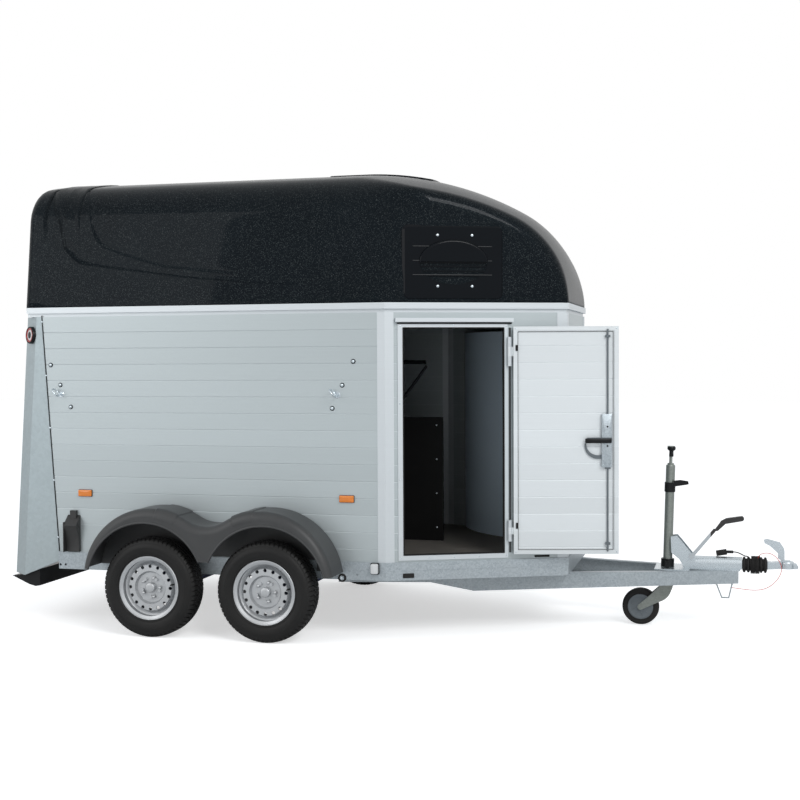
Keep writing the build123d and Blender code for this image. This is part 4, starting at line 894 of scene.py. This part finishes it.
wheelLook = {
    "axleX": {"front": -0.655, "rear": -1.360}, "hubY": 0.989,
    "bolts": 5, "firstBolt": 72.0, "boltCircle": 0.056,
    "bolt": ((0, 0.0535), (0.0055, 0.0525), (0.0085, 0.0500), (0.0095, 0.0470), (0.0095, 0.0440),
             (0, 0.0440)),
    "cap": ((0, 0.0640), (0.010, 0.0638), (0.0105, 0.0630), (0.0215, 0.0626), (0.0255, 0.0612),
            (0.0286, 0.0570), (0.0292, 0.0530), (0.0292, 0.0350), (0, 0.0350)),
    "flange": ((0.1785, 0.0715), (0.1800, 0.0748), (0.1825, 0.0757), (0.1848, 0.0742),
               (0.1850, 0.0712), (0.1825, 0.0695), (0.1785, 0.0715)),
    "stem": ((0.139, 0.02, 0.030), (0.135, 0.02, 0.050), (0.131, 0.02, 0.064)),
    "stemR": (0.0045, 0.0042, 0.0035),
}


def tyrePart():
    # A closed profile round the wheel's axis; the outer rows drop in at the cuts between blocks
    look = tyreLook
    r, w, d = look["outerR"], look["grooveHalf"], look["grooveDepth"]
    rows = list(look["wall"])
    for h in reversed(look["grooves"]):
        cut = 0.005 if abs(h) > 0.01 else 0.003   # shallower beside the middle groove
        rows += [(r, h + w, cut), (r - d, h + w - 0.001, 0), (r - d, h - w + 0.001, 0), (r, h - w, cut)]
    rows += [(a, -h, c) for a, h, c in reversed(look["wall"])]
    rows = np.array(rows)
    blockTurn = 2 * np.pi / look["blocks"]
    angle = (np.arange(look["blocks"])[:, None] + np.array(look["cut"])).ravel() * blockTurn
    lowered = np.tile(look["lowered"], look["blocks"])
    skew = np.sin(rows[:, 1] * 30) * look["skew"] * blockTurn * (rows[:, 2] > 0)
    radius = rows[:, :1] - rows[:, 2:] * lowered
    turn = angle + skew[:, None]
    grid = np.stack([radius * np.cos(turn), radius * np.sin(turn), rows[:, 1:2] + 0 * turn], -1)
    return grid.reshape(-1, 3), quadRows(*grid.shape[:2], wrapRows=True, wrapColumns=True)


def wheelTrim():
    # Turned profiles: round-topped bolts on a circle, the raised cap and a rolled edge on the rim
    look = wheelLook
    parts = []
    for i in range(look["bolts"]):
        a = math.radians(look["firstBolt"] - 360 / look["bolts"] * i)
        place = np.eye(4)
        place[:3, 3] = (look["boltCircle"] * math.cos(a), look["boltCircle"] * math.sin(a), 0.0)
        parts.append(put(turned(look["bolt"], 12), place))
    return parts + [turned(look["cap"], 40), turned(look["flange"], 72)]


for nodeName in [n for n in nodes if n.startswith("tyre_")]:
    wheelName = nodeName.replace("tyre_", "")
    axle, side = wheelName.split("_")
    outward = -1.0 if side == "right" else 1.0
    hub = frameAt((wheelLook["axleX"][axle], outward * wheelLook["hubY"], tyreLook["outerR"]), (1, 0, 0),
                  (0, outward, 0))
    wheelBody = "wheel_" + wheelName
    makePiece("tyreTread_" + wheelName, [put(tyrePart(), hub)], mats["tyre"], body=wheelBody,
              replaced=(nodeName,), sharp=32.0)
    makePiece("wheelTrim_" + wheelName, [put(p, hub) for p in wheelTrim()], mats["rim"],
              body=wheelBody)
    makePiece("valve_" + wheelName, [put(tubeAlong(wheelLook["stem"], wheelLook["stemR"]), hub)],
              mats["rubber"], body=wheelBody)
print("wheels made")

# Mudguards: raised bands beside the valley and a rolled lip round each arch. Angles are in degrees
guardLook = {"humpR": 0.424, "humpX": (-1.346, -0.669), "humpZ": 0.326, "archR": 0.368, "archZ": 0.302,
             "archX": (-1.370, -0.645), "innerY": 0.862, "outerY": 1.100, "round": 0.046,
             "edge": (0.050, 0.0535), "rise": 0.0065, "sunk": 0.0004, "bandStart": 5.5, "bandTurn": 19.5,
             "lip": 0.0068, "lipIn": 0.0035, "lipEnds": (-76, 65.5), "lipRows": 60}


def guardParts():
    # Band: an arc round the hump's centre, carried from the wall outwards and round the shoulder.
    # Lip: a round section carried along the edge of the arch
    look = guardLook
    parts = []
    s = np.linspace(0, 1, 26)
    shoulder = np.linspace(0, np.pi / 2, 9)
    flatEnd = look["outerY"] - look["round"]
    across = np.concatenate([np.linspace(look["innerY"], flatEnd, 5)[:-1],
                             flatEnd + look["round"] * np.sin(shoulder), [look["outerY"]] * 2])
    depth = np.concatenate([np.zeros(4), look["round"] * (1 - np.cos(shoulder)), look["edge"]])
    outN = np.concatenate([np.zeros(4), np.sin(shoulder), [1, 1]])
    upN = np.concatenate([np.ones(4), np.cos(shoulder), [0, 0]])
    for centre, side in zip(look["humpX"], (1, -1)):
        angle = np.radians(side * (look["bandStart"] + look["bandTurn"] * s))[:, None]
        lift = look["rise"] * np.minimum(1, np.minimum(s, 1 - s) / 0.04)[:, None] - look["sunk"]
        reach = look["humpR"] - depth + lift * upN
        grid = np.stack([centre + reach * np.sin(angle), -(across + lift * outN * 0.4) + 0 * angle,
                         look["humpZ"] + reach * np.cos(angle)], -1)
        parts.append((grid.reshape(-1, 3) + corner, quadRows(*grid.shape[:2])[:, ::-1]))
    for centre, side in zip(look["archX"], (1, -1)):
        angle = np.radians(np.linspace(*look["lipEnds"], look["lipRows"]) * side)
        path = np.stack([centre + look["archR"] * np.sin(angle),
                         np.full(look["lipRows"], -look["outerY"] + look["lipIn"]),
                         look["archZ"] + look["archR"] * np.cos(angle)], -1) + corner
        parts.append(tubeAlong(path, look["lip"], 8))
    return parts


for side, label in enumerate(("right", "left")):
    makePiece("guardTrim_" + label, [bothSides(part)[side] for part in guardParts()], mats["guard"],
              sharp=30.0)
print("mudguard trim made")

# Lamps: markers along the walls, a position lamp, a round one on each post and rows on the light bar
lampLook = {
    "markerX": (-1.866, -0.228), "markerZ": 0.8075, "marker": (0.086, 0.039, 0.005),
    "markerLens": ((0, 0.0015), (0, 0.0095), (0.0012, 0.0122), (0.0045, 0.0138)),
    "markerFoot": (0.090, 0.043, 0.006), "footLayers": ((0, -0.001), (0, 0.004), (0.001, 0.005)),
    "front": (-0.060, 0.417, 0.009), "frontFoot": ((0, 0), (0, 0.012), (0.002, 0.014)),
    "frontLens": ((0, 0.010), (0, 0.024), (0.003, 0.030), (0.010, 0.032)),
    "postPlace": (-2.2258, -0.82143, 1.7572), "postLean": 3.7, "postOut": (-0.5801, -0.8137, 0.0375),
    "postFoot": ((0, 0), (0.052, 0), (0.052, 0.016), (0.050, 0.020), (0.046, 0.0215), (0.043, 0.019),
                 (0.043, 0.010), (0, 0.010)),
    "postRed": ((0.035, 0.012), (0.043, 0.012), (0.0425, 0.018), (0.040, 0.020), (0.037, 0.020),
                (0.035, 0.018), (0.035, 0.012)),
    "postClear": ((0.021, 0.0185), (0.025, 0.0188), (0.031, 0.0176), (0.0345, 0.0150), (0.0345, 0.012),
                  (0.021, 0.012), (0.021, 0.0185)),
    "postMiddle": ((0, 0.0178), (0.018, 0.0176), (0.0208, 0.0165), (0.0208, 0.010), (0, 0.010)),
    "barTop": (-2.383, 0.287), "barSlope": 23.3, "barDown": 0.056, "barFootY": -0.680,
    "barRows": ((-0.755, 0.066), (-0.682, 0.070), (-0.608, 0.070)),
    "barLens": ((0, 0), (0, 0.008), (0.002, 0.0098)),
    "barFoot": ((0, -0.001), (0, 0.005), (0.001, 0.006)),
}


def barFrame(y):
    # A place on the light bar's sloping face
    slope = math.radians(lampLook["barSlope"])
    a, b = math.cos(slope), math.sin(slope)
    x, z = lampLook["barTop"]
    down = lampLook["barDown"]
    return frameAt((x + down * a, y, z - down * b), (a, 0, -b), (-b, 0, -a))


def buildLamps():
    # Rounded rectangles and turned profiles stand on the walls, the rear posts and the light bar
    look = lampLook
    amber, clear, red, bases = [], [], [], []
    for x in look["markerX"]:
        place = wallFrame(x, look["markerZ"])
        amber.append(plateAt(place, *look["marker"], *look["markerLens"]))
        bases.append(plateAt(place, *look["markerFoot"], *look["footLayers"]))
    place = wallFrame(*look["front"])
    bases.append(plateAt(place, 0.050, 0.066, 0.008, *look["frontFoot"]))
    clear.append(plateAt(place, 0.044, 0.058, 0.010, *look["frontLens"]))
    lean = math.radians(look["postLean"])
    place = frameAt(look["postPlace"], (math.sin(lean), 0, math.cos(lean)), look["postOut"])
    bases.append(put(turned(look["postFoot"], 40), place))
    red.append(put(turned(look["postRed"], 40), place))
    clear.append(put(turned(look["postClear"], 36), place))
    bases.append(put(turned(look["postMiddle"], 30), place))
    for (y, wide), row in zip(look["barRows"], (red, amber, clear)):
        row.append(plateAt(barFrame(y), 0.084, wide, 0.006, *look["barLens"]))
    bases.append(plateAt(barFrame(look["barFootY"]), 0.088, 0.220, 0.006, *look["barFoot"]))
    for name, rows, finish, slot, replaced in (("amberLenses", amber, "amber", "lamp", ()),
                                               ("redLenses", red, "redLens", "lamp", ()),
                                               ("clearLenses", clear, "clear", "lamp", ()),
                                               ("lampBases", bases, "black", "black_plastic", ("lamps",))):
        parts = [side for part in rows for side in bothSides(part)]
        makePiece(name, parts, mats[finish], replaced=replaced)


buildLamps()
print("lamps made")

# Bolts, rings, screws and rubber strips on the walls and the angled panels, with a dark ring of painted
# shadow under each bolt. Places are (x or s, z)
wallLook = {
    "bolts": ((-2.087, 1.576), (-2.025, 1.456), (-1.957, 1.324), (-0.186, 1.590), (-0.252, 1.455),
              (-0.312, 1.323)),
    # The dark ring under each bolt head is painted shadow round the bolt
    "bolt": (0.0105, 0.011), "boltSeal": ((0, 0.003), (0.0130, 0.003), (0.0142, 0.0), (0, 0.0)),
    "rings": ((-2.022, 1.400), (-0.282, 1.399)),
    "ringPlate": ((0, 0.003), (0.016, 0.003), (0.019, 0.0), (0, 0.0)),
    "ringNeck": ((0, 0, 0.0), (0, 0, 0.012), (0, 0, 0.020)), "ringMiddle": (-0.016, 0.012, 0.036),
    "ringR": 0.026, "ringAlong": (-0.62, 0.78, 0.0), "ringSide": (0.78, 0.62, 0),
    "seamFoot": (-2.045, 0.45), "seamRun": (-0.101, 1.436), "seamScrew": (0.0065, 0.0035),
    "seamScrews": (0.06, 0.30, 0.52, 0.74, 0.965),
    "seamStrip": (-2.0935, -0.8518, 1.163), "seamLength": 1.425,
    "plug": (-0.256, 0.357), "plugBolt": (0.010, 0.012),
    "plugRing": ((0, 0.004), (0.012, 0.004), (0.0165, 0.010), (0.0225, 0.008), (0.0245, 0.0), (0, 0.0)),
    "ventScrews": ((0.303, 2.301), (0.502, 2.301), (0.303, 2.013), (0.502, 2.013)),
    "ventScrew": (0.0085, 0.004), "ventOut": 0.0120,
    "ventS": 0.388, "ventRidges": (2.238, 2.157, 2.077),
    "frameScrews": ((0.086, 1.787), (0.396, 1.790), (0.702, 1.787), (0.086, 0.474), (0.250, 0.472),
                    (0.396, 0.472), (0.540, 0.472), (0.702, 0.474), (0.084, 1.35), (0.084, 0.92)),
}


def buildWallFittings():
    # Heads and washers are turned, rings are a round section on a circle, strips are rounded plates
    look = wallLook
    bolts, dark, ridges = [], [], []
    for x, z in look["bolts"]:
        bolts += onWalls(domeBolt(*look["bolt"]), x, z, 0.002)
        # Dark ring under the bolt head: painted shadow
        dark += onWalls(turned(look["boltSeal"], 20), x, z)
    angle = np.linspace(0, 2 * np.pi, 33)[:-1, None]
    ring = (np.array(look["ringMiddle"]) + look["ringR"] * np.cos(angle) * np.array(look["ringAlong"])
            + look["ringR"] * np.sin(angle) * np.array([0.0, 0.0, 1.0]))
    for x, z in look["rings"]:
        bolts += onWalls(turned(look["ringPlate"], 24), x, z)
        bolts += onWalls(tubeAlong(look["ringNeck"], 0.006, side=(1, 0, 0)), x, z)
        bolts += onWalls(tubeAlong(ring, 0.0042, 9, closed=True, side=look["ringSide"]), x, z)
    (footX, footZ), (runX, runZ) = look["seamFoot"], look["seamRun"]
    for t in look["seamScrews"]:
        bolts += onWalls(domeBolt(*look["seamScrew"]), footX + runX * t, footZ + runZ * t, 0.002)
    lean = math.atan2(-runX, runZ)
    place = frameAt(look["seamStrip"], (math.cos(lean), 0, math.sin(lean)), rightOut)
    dark += bothSides(plateAt(place, 0.0055, look["seamLength"], 0.0015, (0, -0.003), (0, 0.0012),
                              (0.0008, 0.0018)))
    dark += onWalls(turned(look["plugRing"], 24), *look["plug"], 0.009)
    bolts += onWalls(hexBolt(*look["plugBolt"]), *look["plug"], 0.012)
    for s, z in look["ventScrews"]:
        bolts += onPanels(domeBolt(*look["ventScrew"]), s, z, look["ventOut"])
    for z in look["ventRidges"]:
        ridge = roundPlate(0.458, 0.0035, 0.001, ((0, -0.002), (0, 0.0022), (0.001, 0.003)))
        ridges += onPanels(ridge, look["ventS"], z, look["ventOut"])
    makePiece("ventRidges", ridges, mats["guard"])
    dark.append(plateAt(panelFrame(0.4015, 1.8035, 0.002), 0.664, 0.008, 0.001, (0, -0.002), (0, 0.010),
                        (0.001, 0.011)))
    dark += onPanels(roundPlate(0.064, 0.026, 0.004, ((0, -0.001), (0, 0.0008), (0.0008, 0.001))),
                     0.129, 0.374, 0.009)
    bolts += [put(crossScrew(0.0045), panelFrame(s, z, 0.006)) for s, z in look["frameScrews"]]
    makePiece("wallBolts", bolts, mats["bright"])
    # Rubber seals and strips, together with the dark rings of painted shadow under the bolts
    makePiece("wallSeals", dark, mats["rubber"])


# Door: strips are (s, z, wide, tall), and other places are (s, z), measured along the closed door
doorLook = {
    "seal": ((0.396, 1.7775, 0.584, 0.007), (0.396, 0.4905, 0.584, 0.007),
             (0.1035, 1.134, 0.007, 1.292), (0.6875, 1.134, 0.007, 1.292)),
    "beading": ((0.3985, 1.754, 0.541, 0.0028), (0.3985, 0.509, 0.541, 0.0028),
                (0.128, 1.1315, 0.0028, 1.245), (0.669, 1.1315, 0.0028, 1.245)),
    # The hinge entry is a dark strip of painted shadow in the gap beside the hinge
    "dripSeal": (0.9125, 0.463, 0.089, 0.012), "hinge": (0.7235, 1.134, 0.012, 1.290),
    "case": (0.166, 1.133, 0.058, 0.304), "grip": (0.215, 1.133, 0.150, 0.027), "gripOut": 0.0295,
    "leafOut": 0.0125, "keepers": ((0.676, 1.662), (0.676, 0.647)),
    "boltOut": 0.0322, "caseBolts": ((0.163, 1.213), (0.163, 1.103)), "caseOut": 0.0303,
    "leafScrews": ((0.108, 1.772), (0.682, 1.772), (0.108, 0.496), (0.682, 0.496)),
    "caseScrews": ((0.143, 0.994), (0.143, 1.272), (0.189, 0.994), (0.189, 1.272)),
    "boardX": 0.103, "boardBolts": (1.190, 0.977, 0.764, 0.551),
}


def buildDoorFittings():
    # Rounded plates and turned heads: on the frame, on the board behind the door and on the open leaf
    look = doorLook
    leafOut, boltOut = look["leafOut"], look["boltOut"]
    seal = [plateAt(panelFrame(s, z, 0.006), wide, tall, 0.002, (0, -0.022), (0, 0.0012), (0.0015, 0.0028))
            for s, z, wide, tall in look["seal"]]
    s, z, wide, tall = look["dripSeal"]
    seal.append(plateAt(panelFrame(s, z, 0.001), wide, tall, 0.002, (0, -0.004), (0, 0.001),
                        (0.0008, 0.0015)))
    makePiece("doorSeal", seal, mats["rubber"])
    # A dark strip beside the hinge: painted shadow in the gap between the frame and the open leaf
    s, z, wide, tall = look["hinge"]
    strip = plateAt(panelFrame(s, z, 0.001), wide, tall, 0.002, (0, -0.002), (0, 0.0010),
                    (0.0008, 0.0018))
    makePiece("hingeSeal", [strip], mats["guard"])
    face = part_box("partition")[0][1]
    studs = [put(domeBolt(0.006, 0.004), frameAt((look["boardX"], face, z), (1, 0, 0), rightOut))
             for z in look["boardBolts"]]
    makePiece("boardBolts", studs, mats["bright"])
    keepers = [plateAt(leafFrame(s, z, leafOut), 0.012, 0.034, 0.003, (0, 0), (0, 0.006), (0.002, 0.008))
               for s, z in look["keepers"]]
    keepers += [put(domeBolt(0.0055, 0.0025), leafFrame(s, z, boltOut)) for s, z in look["caseBolts"]]
    lines = [plateAt(leafFrame(s, z, leafOut), wide, tall, 0.001, (0, 0.0), (0, 0.0008), (0.0008, 0.0012))
             for s, z, wide, tall in look["beading"]]
    s, z, wide, tall = look["case"]
    plate = plateAt(leafFrame(s, z, look["caseOut"]), wide, tall, 0.004, (0, -0.014), (0, 0.0014),
                    (0.001, 0.0020))
    s, z, wide, tall = look["grip"]
    grip = plateAt(leafFrame(s, z, look["gripOut"]), wide, tall, 0.007, (0.003, 0.0), (0, 0.003),
                   (0, 0.011), (0.004, 0.014))
    screws = [put(crossScrew(0.0045), leafFrame(s, z, leafOut)) for s, z in look["leafScrews"]]
    screws += [put(domeBolt(0.0035, 0.0020), leafFrame(s, z, boltOut)) for s, z in look["caseScrews"]]
    for name, parts, finish, slot in (("leafBeading", lines, "guard", "black_plastic"),
                                      ("doorKeepers", keepers, "rubber", "black_steel"),
                                      ("lockCase", [plate], "galvanised", "galvanised"),
                                      ("lockGrip", [grip], "black", "black_plastic"),
                                      ("leafScrews", screws, "bright", "galvanised")):
        makePiece(name, parts, mats[finish], body="groom_door")


jockeyLook = {
    "hub": (1.3602, 0.110), "discY": 0.0326, "ribs": 9, "ribR": 0.040,
    "disc": ((0, 0.0345), (0.017, 0.0345), (0.0185, 0.0335), (0.020, 0.0328), (0.058, 0.0328),
             (0.062, 0.0340), (0.070, 0.0348), (0.074, 0.0340), (0.0755, 0.0310), (0, 0.0310)),
    "tubeX": 1.507, "tilt": 1.7, "knobDown": 0.064,
    "knob": ((0, 0.0630), (0.014, 0.0630), (0.021, 0.0610), (0.0245, 0.0560), (0.0245, 0.0440),
             (0.0205, 0.0385), (0.0135, 0.0340), (0.0125, 0.0280), (0.0135, 0.0), (0, 0.0)),
}


def buildJockeyFittings():
    # Turned discs with upright ribs on both faces of the wheel, and a turned knob on top of the tube
    look = jockeyLook
    hubX, hubZ = look["hub"]
    parts = []
    for side in (-1.0, 1.0):
        parts.append(put(turned(look["disc"], 48), frameAt((hubX, 0, hubZ), (1, 0, 0), (0, side, 0))))
        for i in range(look["ribs"]):
            a = i * 2 * math.pi / look["ribs"]
            c, n = math.cos(a), math.sin(a)
            rib = frameAt((hubX + look["ribR"] * c, side * look["discY"], hubZ + look["ribR"] * n), (c, 0, n),
                          (0, side, 0))
            parts.append(plateAt(rib, 0.040, 0.004, 0.001, (0, 0), (0, 0.0012), (0.001, 0.0018)))
    makePiece("jockeyDiscs", parts, mats["lock"], body="jockey_wheel")
    tilt = math.radians(look["tilt"])
    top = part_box("jockey_tube")[1][2] - groundZ
    place = frameAt((look["tubeX"] + math.tan(tilt) * top, 0, top - look["knobDown"]),
                    (math.cos(tilt), 0, -math.sin(tilt)), (math.sin(tilt), 0, math.cos(tilt)))
    makePiece("jockeyKnob", [put(turned(look["knob"], 28), place)], mats["black"])


buildWallFittings()
buildDoorFittings()
buildJockeyFittings()
print("fittings made")

studio = {
    "floorColour": (0.86, 0.87, 0.88), "floorLift": 0.55, "floorHalf": 40.0,
    "worldColour": (0.95, 0.975, 1.0), "worldStrength": 0.55, "aim": (-2.5, 0.0, 0.8),
    "keyLight": {"place": (5.5, -9.0, 8.5), "energy": 800.0, "size": 5.0},
    "fillLight": {"place": (-9.0, -7.0, 4.0), "energy": 200.0, "size": 6.0},
}


def buildFloor():
    # White to the camera, and plain soft grey to the light that falls on it
    half = studio["floorHalf"]
    mesh = bpy.data.meshes.new("studioFloor")
    mesh.from_pydata([(-half, -half, groundZ), (half, -half, groundZ), (half, half, groundZ),
                      (-half, half, groundZ)], [], [(0, 1, 2, 3)])
    floor = bpy.data.objects.new("studioFloor", mesh)
    bpy.context.collection.objects.link(floor)
    material, tree, shader, position = newMaterial("studioFloor", Roughness=0.9)
    noise = addNode(tree, "TexNoise", Scale=0.6, Detail=3.0)
    tree.links.new(position, noise.inputs["Vector"])
    colour = studio["floorColour"]
    base = mixColour(tree, noise.outputs[0], tint(colour, 0.99), colour)
    tree.links.new(base, shader.inputs["Base Color"])
    shader.inputs["Emission Color"].default_value = (1.0, 1.0, 1.0, 1.0)
    seen = tree.nodes.new("ShaderNodeLightPath").outputs["Is Camera Ray"]
    lift = mathNode(tree, "MULTIPLY", seen, studio["floorLift"])
    tree.links.new(lift, shader.inputs["Emission Strength"])
    mesh.materials.append(material)


def buildWorld():
    # Pale light, and plain white where the camera or a reflection looks past the part
    world = bpy.data.worlds.new("studioWorld")
    bpy.context.scene.world = world
    world.use_nodes = True
    tree = world.node_tree
    tree.nodes.clear()
    paths = tree.nodes.new("ShaderNodeLightPath")
    seen = mathNode(tree, "MAXIMUM", paths.outputs["Is Camera Ray"], paths.outputs["Is Glossy Ray"])
    seen = mathNode(tree, "MAXIMUM", seen, paths.outputs["Is Transmission Ray"])
    plain = addNode(tree, "Background", Color=(*studio["worldColour"], 1.0),
                    Strength=studio["worldStrength"])
    white = addNode(tree, "Background", Color=(1.0, 1.0, 1.0, 1.0), Strength=1.0)
    mix = tree.nodes.new("ShaderNodeMixShader")
    tree.links.new(seen, mix.inputs[0])
    tree.links.new(plain.outputs[0], mix.inputs[1])
    tree.links.new(white.outputs[0], mix.inputs[2])
    out = tree.nodes.new("ShaderNodeOutputWorld")
    tree.links.new(mix.outputs[0], out.inputs["Surface"])


def buildLights():
    for name in ("keyLight", "fillLight"):
        lamp = bpy.data.lights.new(name, "AREA")
        lamp.energy = studio[name]["energy"]
        lamp.size = studio[name]["size"]
        light = bpy.data.objects.new(name, lamp)
        bpy.context.collection.objects.link(light)
        place = studio[name]["place"]
        aim = Vector(studio["aim"]) - Vector(place)
        light.matrix_world = Matrix.Translation(place) @ aim.to_track_quat("-Z", "Y").to_matrix().to_4x4()


buildFloor()
buildWorld()
buildLights()
bpy.context.scene.view_settings.view_transform = "Standard"
print("stage ready")
